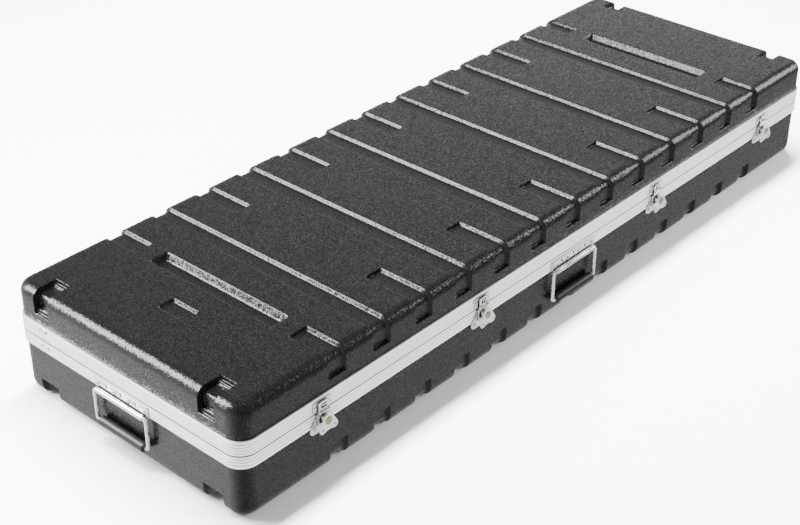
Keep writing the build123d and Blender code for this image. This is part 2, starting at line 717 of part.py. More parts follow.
def curl_spans():
    """X spans of the curled edge, which stops at the two tabs and short of the bail's bends."""
    end = BAIL_WIDTH / 2 - BAIL_BEND - SIDE_CLEARANCE
    gap = TAB_WIDTH / 2 + SIDE_CLEARANCE
    return ((-end, -TAB_SPREAD - gap), (gap - TAB_SPREAD, TAB_SPREAD - gap), (TAB_SPREAD + gap, end))


def make_handle_bracket():
    """Riveted plate whose lower edge is curled over the bail's rod and held under it by two tabs."""
    z = rod_height()
    top = BASE_DEPTH + BRACKET_RISE
    plate = Pos(0, (BASE_DEPTH + top) / 2) * RectangleRounded(BRACKET_WIDTH, BRACKET_RISE, BRACKET_CORNER)
    drop_top = BASE_DEPTH + OVERLAP
    tabs = [(x - TAB_WIDTH / 2, x + TAB_WIDTH / 2) for x in (-TAB_SPREAD, TAB_SPREAD)]
    for start, end in list(curl_spans()) + tabs:
        plate += Pos((start + end) / 2, (z + drop_top) / 2) * Rectangle(end - start, drop_top - z)
    slot = RectangleRounded(BRACKET_SLOT_WIDTH, BRACKET_SLOT_HEIGHT, BRACKET_SLOT_CORNER)
    for x in BRACKET_SLOTS:
        plate -= Pos(x, top - BRACKET_SLOT_HEIGHT) * slot
    bracket = flat_piece(plate, 0, BRACKET_THICKNESS)
    bore = ROD_RADIUS + RUNNING_CLEARANCE
    outside = bore + CURL_THICKNESS
    lip = Box(BRACKET_WIDTH, 2 * outside, outside)
    for start, end in curl_spans():
        curl = rod_along_x(outside, start, end, ROD_STANDOFF, z)
        bracket += curl - Pos(0, -ROD_STANDOFF, z - CURL_LIP - outside / 2) * lip
    for start, end in tabs:
        bracket += rod_along_x(outside, start, end, ROD_STANDOFF, z)
    return bracket - rod_along_x(bore, -BRACKET_WIDTH, BRACKET_WIDTH, ROD_STANDOFF, z)


def bail_height():
    """Middle height of the bail's loop."""
    return rod_height() - BAIL_DROP / 2


def make_handle_bail():
    """Closed loop of round bar: its upper side is the pivot rod, its lower side carries the grip."""
    outline = Plane.XZ * RectangleRounded(BAIL_WIDTH, BAIL_DROP, BAIL_BEND)
    path = outline.wire()
    section = Plane(origin=path @ 0, z_dir=path % 0) * Circle(ROD_RADIUS)
    return Pos(0, -ROD_STANDOFF, bail_height()) * sweep(section, path=path)


def make_handle_grip():
    """Moulded sleeve on the bail's lower side."""
    half = BAIL_WIDTH / 2 - BAIL_BEND - GRIP_END_GAP
    z = rod_height() - BAIL_DROP
    sleeve = rod_along_x(GRIP_RADIUS, -half, half, ROD_STANDOFF, z)
    sleeve = fillet(sleeve.edges().filter_by(GeomType.CIRCLE), GRIP_EDGE_RADIUS)
    return sleeve - rod_along_x(ROD_RADIUS, -BAIL_WIDTH, BAIL_WIDTH, ROD_STANDOFF, z)


def make_rear_feet(z):
    """Two rubber feet at one height on the hinge side."""
    foot = round_bar(FOOT_RADIUS, -BAND_PROUD, FOOT_PROUD, 0, z)
    foot = fillet(foot.faces().sort_by(Axis.Y)[0].edges(), FOOT_EDGE)
    return Compound([back(side * FOOT_SPACING) * foot for side in (-1, 1)])


def floor_pad_top():
    """Top of the floor pad, which lies on the bulges of the base's grooves."""
    return WALL + GROOVE_DEPTH + FLOOR_PAD_THICKNESS


def notch_room():
    """Room that the foam leaves round the base's notches."""
    height = BASE_DEPTH + EDGE_SEAT
    tools = [notch_tool(notch, height, BASE_EDGE_RADIUS, WALL + PAD_GAP) for notch in base_notches()]
    return [floor_down(tool) for tool in tools]


def make_floor_pad():
    """Foam sheet on the floor of the base, inside its rounded lower edge."""
    inset = BAND_PROUD + BASE_EDGE_RADIUS + PAD_GAP
    return slab(inset, WALL + GROOVE_DEPTH, floor_pad_top()) - notch_room()


def end_pad_face():
    """X of the end pads' inner faces."""
    return CASE_LENGTH / 2 - LINED_INSET - END_PAD_LENGTH


def make_end_pad(side):
    """Foam block across one end of the base."""
    block = Box(END_PAD_LENGTH, CASE_WIDTH, RAIL_TOP - floor_pad_top())
    x = side * (end_pad_face() + END_PAD_LENGTH / 2)
    pad = slab(LINED_INSET, floor_pad_top(), RAIL_TOP) & Pos(x, 0, (RAIL_TOP + floor_pad_top()) / 2) * block
    return pad - notch_room()


def make_rail_pad(side):
    """Foam rail along one long wall of the base, between the end pads."""
    length = 2 * (end_pad_face() - PAD_GAP)
    height = RAIL_TOP - floor_pad_top()
    y = side * (CASE_WIDTH / 2 - LINED_INSET - RAIL_THICKNESS / 2)
    return Pos(0, y, floor_pad_top() + height / 2) * Box(length, RAIL_THICKNESS, height)


def make_lid_pad():
    """Foam sheet under the lid, between the two deep slots."""
    half = slot_place() - SLOT_WIDTH / 2 - WALL - SLOT_PAD_GAP
    top = CASE_TOP - WALL - GROOVE_DEPTH
    return Pos(0, 0, top - LID_PAD_THICKNESS / 2) * Box(2 * half, LID_PAD_WIDTH, LID_PAD_THICKNESS)


def make_parts():
    """Every node of the case, by name."""
    parts = {
        "base_shell": make_base_shell(),
        "lid_shell": make_lid_shell(),
        "base_valance": make_base_valance(),
        "lid_valance": make_lid_valance(),
        "floor_pad": make_floor_pad(),
        "front_rail_pad": make_rail_pad(-1),
        "rear_rail_pad": make_rail_pad(1),
        "left_end_pad": make_end_pad(-1),
        "right_end_pad": make_end_pad(1),
        "lid_pad": make_lid_pad(),
        "hinge_pins": make_hinge_pins(),
        "handle_rivets": rivets(handle_fixings()),
        "latch_rivets": rivets(latch_fixings()),
        "keeper_rivets": rivets(keeper_fixings()),
        "hinge_base_rivets": rivets(base_hinge_fixings()),
        "hinge_lid_rivets": rivets(lid_hinge_fixings()),
        "valance_joint_base_rivets": rivets(base_joint_fixings()),
        "valance_joint_lid_rivets": rivets(lid_joint_fixings()),
        "base_rear_feet": make_rear_feet(BASE_FOOT_HEIGHT),
        "lid_rear_feet": make_rear_feet(CASE_TOP - LID_FOOT_DROP),
    }
    for number, x in enumerate(HINGE_PLACES, 1):
        base_leaf = make_hinge_leaf(0, -1)
        lid_leaf = make_hinge_leaf(1, 1)
        parts[f"hinge_base_leaf_{number}"] = place_hinge_leaf(base_leaf, x, base_hinge_fixings())
        parts[f"hinge_lid_leaf_{number}"] = place_hinge_leaf(lid_leaf, x, lid_hinge_fixings())
    for number, x in enumerate(LATCH_PLACES, 1):
        parts[f"latch_plate_{number}"] = front(x) * make_latch_plate() - holes(latch_fixings())
        parts[f"latch_slider_{number}"] = front(x) * make_latch_slider()
        parts[f"latch_hook_{number}"] = front(x) * make_latch_hook()
        parts[f"latch_keeper_{number}"] = front(x) * make_latch_keeper() - holes(keeper_fixings())
        parts[f"latch_wing_{number}"] = front(x) * make_latch_wing()
        parts[f"latch_spindle_{number}"] = front(x) * make_latch_spindle()
    for name, place in HANDLE_PLACES.items():
        parts[f"handle_bracket_{name}"] = place() * make_handle_bracket() - holes(handle_fixings())
        parts[f"handle_bail_{name}"] = place() * make_handle_bail()
        parts[f"handle_grip_{name}"] = place() * make_handle_grip()
    return parts


os.makedirs("parts", exist_ok=True)
for node, solid in make_parts().items():
    export_step(solid, f"parts/{node}.step")
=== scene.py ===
import logging
import math
from dataclasses import dataclass
from enum import Enum

import bmesh
import bpy
import numpy as np
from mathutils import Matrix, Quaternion, Vector
from mathutils.geometry import tessellate_polygon


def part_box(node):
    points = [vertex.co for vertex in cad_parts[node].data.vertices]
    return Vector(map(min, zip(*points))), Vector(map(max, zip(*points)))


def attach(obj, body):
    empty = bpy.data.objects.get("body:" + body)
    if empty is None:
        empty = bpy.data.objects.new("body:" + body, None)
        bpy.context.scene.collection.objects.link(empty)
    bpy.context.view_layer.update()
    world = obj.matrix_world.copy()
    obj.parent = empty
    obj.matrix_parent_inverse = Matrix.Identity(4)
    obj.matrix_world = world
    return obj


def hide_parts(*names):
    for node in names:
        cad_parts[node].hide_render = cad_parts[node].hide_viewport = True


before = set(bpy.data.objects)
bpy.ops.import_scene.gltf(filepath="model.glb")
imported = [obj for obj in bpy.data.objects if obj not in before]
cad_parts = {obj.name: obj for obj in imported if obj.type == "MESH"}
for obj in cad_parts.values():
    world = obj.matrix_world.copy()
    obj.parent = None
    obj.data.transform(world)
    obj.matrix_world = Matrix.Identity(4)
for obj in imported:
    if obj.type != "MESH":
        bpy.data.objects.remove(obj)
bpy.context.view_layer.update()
LOG = logging.getLogger("keyboard_case")
MM = 0.001

# Sizes that several pieces share, in millimetres, as in the CAD model.
HALF_LENGTH = 727.0
HALF_WIDTH = 241.5
BAND_CORNER = 30.0
BASE_DEPTH = 91.0
SPLIT = 112.0
BAND_TOP = 136.0
BAND_PROUD = 3.0
WALL = 3.6
EDGE_SEAT = 12.0
GROOVE_PITCH = 90.0
GROOVE_PLACES = tuple(GROOVE_PITCH * step for step in range(-6, 7))
GROOVE_HALF_WIDTH = 17.5
GROOVE_DEPTH = 5.5
NOTCH_DEPTH = 10.5
SHEET = 1.6
LATCH_PLACES = (-576.0, -232.0, 232.0, 576.0)
# Depth that a flank gains for each millimetre in from its edge.
FLANK_SLOPE = GROOVE_DEPTH / 3.5
NOTCH_SLOPE = 5.0
# Fine lines round each half of the valance.
BASE_LINES = 3
LID_LINES = 4
# Degrees round a corner of the case, close together where it meets the straight sides.
CORNER_ANGLES = (0, 2, 4, 7, 12, 19, 27, 36, 45, 54, 63, 71, 78, 83, 86, 88, 90)


class Slot(Enum):
    """Material slots of the pieces that are made here."""

    SHELL = "shell_plastic"
    VALANCE = "valance_aluminium"
    LATCH = "latch_steel"
    BAIL = "bail_chrome"
    SPINDLE = "spindle_brass"
    GRIP = "grip_plastic"
    FOAM = "foam"


class Side(Enum):
    """Walls that carry hardware."""

    FRONT = "front"
    LEFT = "left"
    RIGHT = "right"

    def place(self, across: np.ndarray, out: np.ndarray, up: np.ndarray) -> np.ndarray:
        """Points on this wall in the case's frame.

        Args:
            across: distance along the wall, to the right of someone who faces it.
            out: distance from the valance's face.
            up: height above the floor.

        Returns:
            Points as rows of x, y and z.
        """
        if self is Side.FRONT:
            return np.column_stack([across, -HALF_WIDTH - out, up])
        if self is Side.LEFT:
            return np.column_stack([-HALF_LENGTH - out, -across, up])
        return np.column_stack([HALF_LENGTH + out, across, up])


def linear(hex_colour: str) -> tuple[float, float, float, float]:
    """Linear RGBA of an sRGB hex colour.

    Args:
        hex_colour: colour as #rrggbb.

    Returns:
        Red, green, blue and alpha, from 0 to 1.
    """
    channels = [int(hex_colour[i : i + 2], 16) / 255 for i in (1, 3, 5)]
    low = [c / 12.92 if c <= 0.04045 else ((c + 0.055) / 1.055) ** 2.4 for c in channels]
    return (low[0], low[1], low[2], 1.0)


def add_node(tree: bpy.types.NodeTree, kind: str, settings: dict, links: dict) -> bpy.types.Node:
    """Adds one node.

    Args:
        tree: node tree that takes it.
        kind: node type, without its ShaderNode prefix.
        settings: values by socket name or number, or by the node's own property.
        links: output sockets by the name or number of the input that they feed.

    Returns:
        The node.
    """
    node = tree.nodes.new("ShaderNode" + kind)
    for key, value in settings.items():
        if isinstance(key, int) or key in node.inputs:
            node.inputs[key].default_value = value
        else:
            setattr(node, key, value)
    for key, socket in links.items():
        tree.links.new(socket, node.inputs[key])
    return node


def start_material(
    name: str,
) -> tuple[bpy.types.Material, bpy.types.NodeTree, bpy.types.Node, bpy.types.NodeSocket]:
    """Empty material with its shader and the object's coordinates, in metres.

    Args:
        name: the material's name.

    Returns:
        The material, its node tree, its shader and the socket of Object coordinates.
    """
    material = bpy.data.materials.new(name)
    material.use_nodes = True
    tree = material.node_tree
    tree.nodes.clear()
    shader = add_node(tree, "BsdfPrincipled", {}, {})
    add_node(tree, "OutputMaterial", {}, {"Surface": shader.outputs[0]})
    place = add_node(tree, "TexCoord", {}, {})
    return material, tree, shader, place.outputs["Object"]


@dataclass(frozen=True)
class PebbledABS:
    """ABS sheet, vacuum formed in a textured mould: black, with a hard pebble grain that glitters."""

    # pit colour: painted shade in the hollows between pebbles
    pit_shade: str = "#030303"
    pebble: str = "#0e0e10"
    roughness: float = 0.23
    ior: float = 1.54
    grain: float = 1.8  # mm between pebbles; about 1.2 mm is likely, which is too fine to show
    grain_height: float = 0.13  # mm
    lean: float = 0.22  # spread of the random vector that leans each pebble's unit normal

    def build(self) -> bpy.types.Material:
        """Material with a cell for each pebble, whose crown leans its own way, so some catch the light.

        Returns:
            The material.
        """
        material, tree, shader, place = start_material("pebbled_abs")
        shader.inputs["IOR"].default_value = self.ior
        shader.inputs["Specular IOR Level"].default_value = 0.4
        settings = {"feature": "SMOOTH_F1", "Scale": 1000 / self.grain, "Smoothness": 0.25, "Randomness": 1.0}
        cells = add_node(tree, "TexVoronoi", settings, {"Vector": place})
        single = add_node(tree, "TexVoronoi", {"Scale": 1000 / self.grain}, {"Vector": place})
        leaning = add_node(
            tree,
            "VectorMath",
            {"operation": "MULTIPLY_ADD", 1: (self.lean,) * 3, 2: (-self.lean / 2,) * 3},
            {0: single.outputs["Color"]},
        )
        surface = add_node(tree, "NewGeometry", {}, {})
        crown = add_node(
            tree,
            "VectorMath",
            {"operation": "ADD"},
            {0: surface.outputs["Normal"], 1: leaning.outputs[0]},
        )
        facing = add_node(tree, "VectorMath", {"operation": "NORMALIZE"}, {0: crown.outputs[0]})
        bump = add_node(
            tree,
            "Bump",
            {"Strength": 1.0, "Distance": self.grain_height * MM, "invert": True},
            {"Height": cells.outputs["Distance"], "Normal": facing.outputs[0]},
        )
        # painted shade: the pits between pebbles are coloured darker than the crowns
        crown_or_pit_shade = add_node(
            tree,
            "MapRange",
            {"From Min": 0.15, "From Max": 0.75, "To Min": 1.0, "To Max": 0.0},
            {"Value": cells.outputs["Distance"]},
        )
        tone = add_node(
            tree,
            "Mix",
            {"data_type": "RGBA", 6: linear(self.pit_shade), 7: linear(self.pebble)},
            {0: crown_or_pit_shade.outputs[0]},
        )
        shade = add_node(tree, "SeparateColor", {}, {"Color": single.outputs["Color"]})
        gloss = add_node(
            tree,
            "MapRange",
            {"To Min": self.roughness - 0.05, "To Max": self.roughness + 0.07},
            {"Value": shade.outputs[0]},
        )
        tree.links.new(tone.outputs[2], shader.inputs["Base Color"])
        tree.links.new(gloss.outputs[0], shader.inputs["Roughness"])
        tree.links.new(bump.outputs[0], shader.inputs["Normal"])
        return material


@dataclass(frozen=True)
class DrawnAluminium:
    """Extruded aluminium band, satin anodised: fine die streaks along it, and painted shade in its lines and
    in its nooks.
    """

    name: str
    low: float  # mm, lower edge of the band
    pitch: float  # mm between its lines
    count: int  # lines
    split_level: float  # where the halves meet, in pitches above the lower edge
    # colour of the lines, darker than the band as painted shade
    line_shade_colour: str
    colour: str = "#f1f2f1"
    roughness: float = 0.3
    streak: float = 0.5  # mm between die streaks
    streak_height: float = 0.02  # mm

    def build(self) -> bpy.types.Material:
        """Material with streaks along X and Y, thin lines darkened as painted shade, a dark joint where the
        two halves meet, and painted shade in the nooks.

        Returns:
            The material.
        """
        material, tree, shader, place = start_material(self.name)
        shader.inputs["Metallic"].default_value = 0.5
        stretch = add_node(tree, "Mapping", {"Scale": (6.0, 6.0, 1000 / self.streak)}, {"Vector": place})
        streak = add_node(tree, "TexNoise", {"Scale": 1.0, "Detail": 3.0}, {"Vector": stretch.outputs[0]})
        handled = add_node(tree, "TexNoise", {"Scale": 30.0, "Detail": 4.0}, {"Vector": place})
        mixed = add_node(
            tree,
            "Math",
            {"operation": "MULTIPLY"},
            {0: streak.outputs["Fac"], 1: handled.outputs["Fac"]},
        )
        gloss = add_node(
            tree,
            "MapRange",
            {"From Max": 0.5, "To Min": self.roughness - 0.08, "To Max": self.roughness + 0.14},
            {"Value": mixed.outputs[0]},
        )
        apart = add_node(tree, "SeparateXYZ", {}, {0: place})
        level = add_node(
            tree,
            "Math",
            {"operation": "MULTIPLY_ADD", 1: 1000 / self.pitch, 2: -self.low / self.pitch},
            {0: apart.outputs[2]},
        )
        from_line = add_node(tree, "Math", {"operation": "PINGPONG", 1: 0.5}, {0: level.outputs[0]})
        in_line = add_node(
            tree,
            "MapRange",
            {"From Min": 0.25 / self.pitch, "From Max": 0.6 / self.pitch, "To Min": 1.0, "To Max": 0.0},
            {"Value": from_line.outputs[0]},
        )
        middle = (self.count + 1) / 2
        off_middle = add_node(tree, "Math", {"operation": "SUBTRACT", 1: middle}, {0: level.outputs[0]})
        far_off = add_node(tree, "Math", {"operation": "ABSOLUTE"}, {0: off_middle.outputs[0]})
        lined = add_node(
            tree,
            "MapRange",
            {"From Min": middle - 0.6, "From Max": middle - 0.5, "To Min": 1.0, "To Max": 0.0},
            {"Value": far_off.outputs[0]},
        )
        # painted shade: the colour darkens along each line
        fine = add_node(tree, "Math", {"operation": "MULTIPLY"}, {0: in_line.outputs[0], 1: lined.outputs[0]})
        off_split = add_node(
            tree,
            "Math",
            {"operation": "SUBTRACT", 1: self.split_level},
            {0: level.outputs[0]},
        )
        to_split = add_node(tree, "Math", {"operation": "ABSOLUTE"}, {0: off_split.outputs[0]})
        # dark joint where the two halves meet
        joint_dark = add_node(
            tree,
            "MapRange",
            {"From Min": 1.0 / self.pitch, "From Max": 1.3 / self.pitch, "To Min": 1.0, "To Max": 0.0},
            {"Value": to_split.outputs[0]},
        )
        tone = add_node(
            tree,
            "Mix",
            {"data_type": "RGBA", 6: linear(self.colour), 7: linear(self.line_shade_colour)},
            {0: fine.outputs[0]},
        )
        # painted shade: ambient occlusion darkens the colour near other surfaces
        nook = add_node(tree, "AmbientOcclusion", {"samples": 6, "Distance": 5.0 * MM}, {})
        painted_shade = add_node(
            tree,
            "MapRange",
            {"From Min": 0.45, "From Max": 0.88, "To Min": 1.0, "To Max": 0.0},
            {"Value": nook.outputs["AO"]},
        )
        joint_and_painted_shade = add_node(tree, "Math", {"operation": "MAXIMUM"}, {0: joint_dark.outputs[0], 1: painted_shade.outputs[0]})
        tone_with_joint_and_shade = add_node(
            tree,
            "Mix",
            {"data_type": "RGBA", 7: linear("#0c0c0c")},
            {0: joint_and_painted_shade.outputs[0], 6: tone.outputs[2]},
        )
        bump = add_node(
            tree,
            "Bump",
            {"Strength": 0.6, "Distance": self.streak_height * MM},
            {"Height": streak.outputs["Fac"]},
        )
        tree.links.new(tone_with_joint_and_shade.outputs[2], shader.inputs["Base Color"])
        tree.links.new(gloss.outputs[0], shader.inputs["Roughness"])
        tree.links.new(bump.outputs[0], shader.inputs["Normal"])
        return material


@dataclass(frozen=True)
class PlatedMetal:
    """Steel pressing with a metal plate on it: a mirror dulled by fingers and dings, with painted shade in
    its nooks.
    """

    name: str
    colour: str
    roughness: float
    ding: float = 4.0  # mm between soft dents
    ding_height: float = 0.02  # mm
    # painted shade: the colour darkens within this reach of other surfaces
    painted_shade: float = 4.5  # mm, reach of the dark in its nooks

    def build(self) -> bpy.types.Material:
        """Material with cloudy gloss, a faint uneven face and painted shade in its nooks.

        Returns:
            The material.
        """
        material, tree, shader, place = start_material(self.name)
        shader.inputs["Metallic"].default_value = 0.75
        clouds = {"Scale": 90.0, "Detail": 5.0, "Roughness": 0.6}
        smudge = add_node(tree, "TexNoise", clouds, {"Vector": place})
        gloss = add_node(
            tree,
            "MapRange",
            {
                "From Min": 0.3,
                "From Max": 0.7,
                "To Min": self.roughness * 0.6,
                "To Max": self.roughness * 1.5,
            },
            {"Value": smudge.outputs["Fac"]},
        )
        clean = linear(self.colour)
        dulled = tuple(0.86 * channel for channel in clean[:3]) + (1.0,)
        tone = add_node(
            tree,
            "Mix",
            {"data_type": "RGBA", 6: clean, 7: dulled},
            {0: smudge.outputs["Fac"]},
        )
        # painted shade: ambient occlusion darkens the colour to near black in the nooks
        nook = add_node(tree, "AmbientOcclusion", {"samples": 6, "Distance": self.painted_shade * MM}, {})
        painted_shade_mask = add_node(
            tree,
            "MapRange",
            {"From Min": 0.4, "From Max": 0.85, "To Min": 1.0, "To Max": 0.0},
            {"Value": nook.outputs["AO"]},
        )
        tone_with_painted_shade = add_node(
            tree,
            "Mix",
            {"data_type": "RGBA", 7: linear("#0a0a0a")},
            {0: painted_shade_mask.outputs[0], 6: tone.outputs[2]},
        )
        dents = add_node(tree, "TexNoise", {"Scale": 1000 / self.ding, "Detail": 1.0}, {"Vector": place})
        bump = add_node(
            tree,
            "Bump",
            {"Strength": 0.5, "Distance": self.ding_height * MM},
            {"Height": dents.outputs["Fac"]},
        )
        tree.links.new(tone_with_painted_shade.outputs[2], shader.inputs["Base Color"])
        tree.links.new(gloss.outputs[0], shader.inputs["Roughness"])
        tree.links.new(bump.outputs[0], shader.inputs["Normal"])
        return material


@dataclass(frozen=True)
class MouldedBlack:
    """Injection-moulded PVC or rubber: black, with a fine even tooth from the mould."""

    name: str
    colour: str
    roughness: float
    ior: float = 1.52
    tooth: float = 0.7  # mm between bumps
    tooth_height: float = 0.05  # mm

    def build(self) -> bpy.types.Material:
        """Material with a soft tooth and slight gloss changes.

        Returns:
            The material.
        """
        material, tree, shader, place = start_material(self.name)
        shader.inputs["IOR"].default_value = self.ior
        shader.inputs["Base Color"].default_value = linear(self.colour)
        tooth = add_node(tree, "TexNoise", {"Scale": 1000 / self.tooth, "Detail": 2.0}, {"Vector": place})
        cloud = add_node(tree, "TexNoise", {"Scale": 60.0, "Detail": 3.0}, {"Vector": place})
        gloss = add_node(
            tree,
            "MapRange",
            {"To Min": self.roughness - 0.08, "To Max": self.roughness + 0.1},
            {"Value": cloud.outputs["Fac"]},
        )
        bump = add_node(
            tree,
            "Bump",
            {"Strength": 0.7, "Distance": self.tooth_height * MM},
            {"Height": tooth.outputs["Fac"]},
        )
        tree.links.new(gloss.outputs[0], shader.inputs["Roughness"])
        tree.links.new(bump.outputs[0], shader.inputs["Normal"])
        return material


@dataclass(frozen=True)
class OpenFoam:
    """Polyurethane foam, cut from a block: dull charcoal with pinhole cells."""

    colour: str = "#2b2c2f"
    # colour of the cell floors: painted shade
    cell_shade_colour: str = "#131315"
    cell: float = 1.6  # mm across
    cell_height: float = 0.5  # mm
    fuzz: float = 0.9  # mm, size of the fine unevenness on the cells

    def build(self) -> bpy.types.Material:
        """Material whose cell floors are lower than their walls, and coloured darker than them as painted
        shade.

        Returns:
            The material.
        """
        material, tree, shader, place = start_material("open_foam")
        shader.inputs["Roughness"].default_value = 0.95
        shader.inputs["Sheen Weight"].default_value = 0.15
        shader.inputs["Specular IOR Level"].default_value = 0.2
        pores = {"Scale": 1000 / self.cell, "Randomness": 1.0}
        cells = add_node(tree, "TexVoronoi", pores, {"Vector": place})
        fuzz = add_node(tree, "TexNoise", {"Scale": 1000 / self.fuzz, "Detail": 3.0}, {"Vector": place})
        wall = add_node(
            tree,
            "MapRange",
            {"From Min": 0.1, "From Max": 0.55},
            {"Value": cells.outputs["Distance"]},
        )
        height = add_node(
            tree,
            "Math",
            {"operation": "MULTIPLY_ADD", 1: 0.4},
            {0: fuzz.outputs["Fac"], 2: wall.outputs[0]},
        )
        # painted shade: the cell floors are coloured darker than the walls
        tone = add_node(
            tree,
            "Mix",
            {"data_type": "RGBA", 6: linear(self.cell_shade_colour), 7: linear(self.colour)},
            {0: wall.outputs[0]},
        )
        bump = add_node(
            tree,
            "Bump",
            {"Strength": 1.0, "Distance": self.cell_height * MM},
            {"Height": height.outputs[0]},
        )
        tree.links.new(tone.outputs[2], shader.inputs["Base Color"])
        tree.links.new(bump.outputs[0], shader.inputs["Normal"])
        return material


@dataclass
class Skin:
    """Mesh data: points in millimetres, and faces as lists of point numbers."""

    points: np.ndarray
    faces: list

    def __add__(self, other: "Skin") -> "Skin":
        """Both skins as one.

        Args:
            other: skin that is numbered after this one.

        Returns:
            The joined skin.
        """
        offset = len(self.points)
        moved = [[index + offset for index in face] for face in other.faces]
        return Skin(np.vstack([self.points, other.points]), self.faces + moved)


@dataclass
class Piece:
    """One finished object of the scene."""

    name: str
    body: str
    slot: Slot
    material: bpy.types.Material
    replaces: tuple[str, ...] = ()
    sharp_angle: float = 40.0
    turn_out: bool = True

    def make(self, skin: Skin) -> bpy.types.Object:
        """Object at the origin with its place in its mesh.

        Args:
            skin: the piece's surface.

        Returns:
            The object, riding on its body.
        """
        mesh = bpy.data.meshes.new(self.name)
        mesh.from_pydata((skin.points * MM).tolist(), [], skin.faces)
        work = bmesh.new()
        work.from_mesh(mesh)
        bmesh.ops.remove_doubles(work, verts=work.verts, dist=2e-6)
        bmesh.ops.dissolve_degenerate(work, edges=work.edges, dist=1e-7)
        if self.turn_out:
            bmesh.ops.recalc_face_normals(work, faces=work.faces)
        work.to_mesh(mesh)
        work.free()
        mesh.polygons.foreach_set("use_smooth", np.ones(len(mesh.polygons), bool))
        mesh.set_sharp_from_angle(angle=math.radians(self.sharp_angle))
        mesh.materials.append(self.material)
        piece = bpy.data.objects.new(self.name, mesh)
        bpy.context.scene.collection.objects.link(piece)
        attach(piece, self.body)
        if self.replaces:
            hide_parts(*self.replaces)
        LOG.info("%s: %d faces on %s", self.name, len(mesh.polygons), self.body)
        return piece


def grid_faces(rows: int, columns: int, ring_rows: bool = False, ring_columns: bool = False) -> list:
    """Quads of a grid whose points are numbered row by row, closed into a ring either way if asked.

    Args:
        rows: number of rows.
        columns: number of columns.
        ring_rows: whether the last row joins the first.
        ring_columns: whether the last column joins the first.

    Returns:
        Faces as lists of point numbers.
    """
    row = np.arange(rows if ring_rows else rows - 1)[:, None]
    column = np.arange(columns if ring_columns else columns - 1)[None, :]
    next_row, next_column = (row + 1) % rows, (column + 1) % columns
    corners = [
        row * columns + column,
        row * columns + next_column,
        next_row * columns + next_column,
        next_row * columns + column,
    ]
    return np.stack([np.broadcast_to(c, (row.size, column.size)).ravel() for c in corners], 1).tolist()


def grid_skin(points: np.ndarray, ring_rows: bool = False, ring_columns: bool = False) -> Skin:
    """Skin of an array of points with shape rows, columns, 3."""
    rows, columns = points.shape[:2]
    return Skin(points.reshape(-1, 3), grid_faces(rows, columns, ring_rows, ring_columns))


def soft_max(a: np.ndarray, b: np.ndarray | float, blend: float) -> np.ndarray:
    """Larger of two values, rounded off where they differ by less than blend.

    The formula is the larger value plus the square of (blend - difference) over four times blend.
    """
    overlap = np.maximum(blend - np.abs(a - b), 0.0)
    return np.maximum(a, b) + overlap**2 / (4 * blend)


def soft_min(a: np.ndarray, b: np.ndarray | float, blend: float) -> np.ndarray:
    """Smaller of two values, rounded off in the same way."""
    return -soft_max(-a, -b, blend)


def circle(radius: float, across: float = 0.0, up: float = 0.0, count: int = 32) -> np.ndarray:
    """Points round a circle, anticlockwise."""
    angle = np.linspace(0, 2 * np.pi, count, endpoint=False)
    return np.column_stack([across + radius * np.cos(angle), up + radius * np.sin(angle)])


def rounded_rectangle(width: float, height: float, radius: float, across: float, up: float) -> np.ndarray:
    """Points round a rectangle with rounded corners, anticlockwise: each corner is a quarter circle.

    Args:
        width: whole width.
        height: whole height.
        radius: radius of the corners.
        across: the centre's place, across.
        up: the centre's place, up.

    Returns:
        Points as rows of across and up.
    """
    turn = np.radians(np.linspace(0, 90, 7))
    signs = np.array([(1, 1), (-1, 1), (-1, -1), (1, -1)], float)
    angle = turn[None, :] + np.radians([0, 90, 180, 270])[:, None]
    centre_x = across + signs[:, :1] * (width / 2 - radius)
    centre_y = up + signs[:, 1:] * (height / 2 - radius)
    return np.column_stack(
        [(centre_x + radius * np.cos(angle)).ravel(), (centre_y + radius * np.sin(angle)).ravel()]
    )


def belt(circles: list[tuple[float, float, float]], count: int = 160) -> np.ndarray:
    """Outline of a belt round circles given as across, up and radius.

    In each direction the outline touches the circle that reaches furthest, at its centre plus its
    radius in that direction. The points are then spaced evenly along the outline.

    Args:
        circles: across, up and radius of each circle.
        count: number of points.

    Returns:
        Points as rows of across and up.
    """
    angle = np.linspace(0, 2 * np.pi, 720, endpoint=False)
    way = np.column_stack([np.cos(angle), np.sin(angle)])
    data = np.array(circles)
    furthest = (way @ data[:, :2].T + data[:, 2]).argmax(1)
    points = data[furthest, :2] + data[furthest, 2:] * way
    closed = np.vstack([points, points[:1]])
    travelled = np.concatenate([[0], np.cumsum(np.linalg.norm(np.diff(closed, axis=0), axis=1))])
    spots = np.linspace(0, travelled[-1], count, endpoint=False)
    return np.column_stack([np.interp(spots, travelled, closed[:, i]) for i in (0, 1)])


def inward(loop: np.ndarray) -> np.ndarray:
    """Unit vectors to the left of a loop's line of travel, mitred at its corners.

    Args:
        loop: points in order, as rows of across and up.

    Returns:
        One vector for each point.
    """
    before, after = loop - np.roll(loop, 1, 0), np.roll(loop, -1, 0) - loop
    left = []
    for step in (before, after):
        length = np.maximum(np.linalg.norm(step, axis=1), 1e-9)[:, None]
        left.append(np.column_stack([-step[:, 1], step[:, 0]]) / length)
    mid = left[0] + left[1]
    mid /= np.maximum(np.linalg.norm(mid, axis=1), 1e-6)[:, None]
    return mid / np.maximum((mid * left[0]).sum(1), 0.5)[:, None]


def area(loop: np.ndarray) -> float:
    """Signed area of a loop, positive when it runs anticlockwise."""
    x, y = loop[:, 0], loop[:, 1]
    return float((x * np.roll(y, -1) - y * np.roll(x, -1)).sum() / 2)


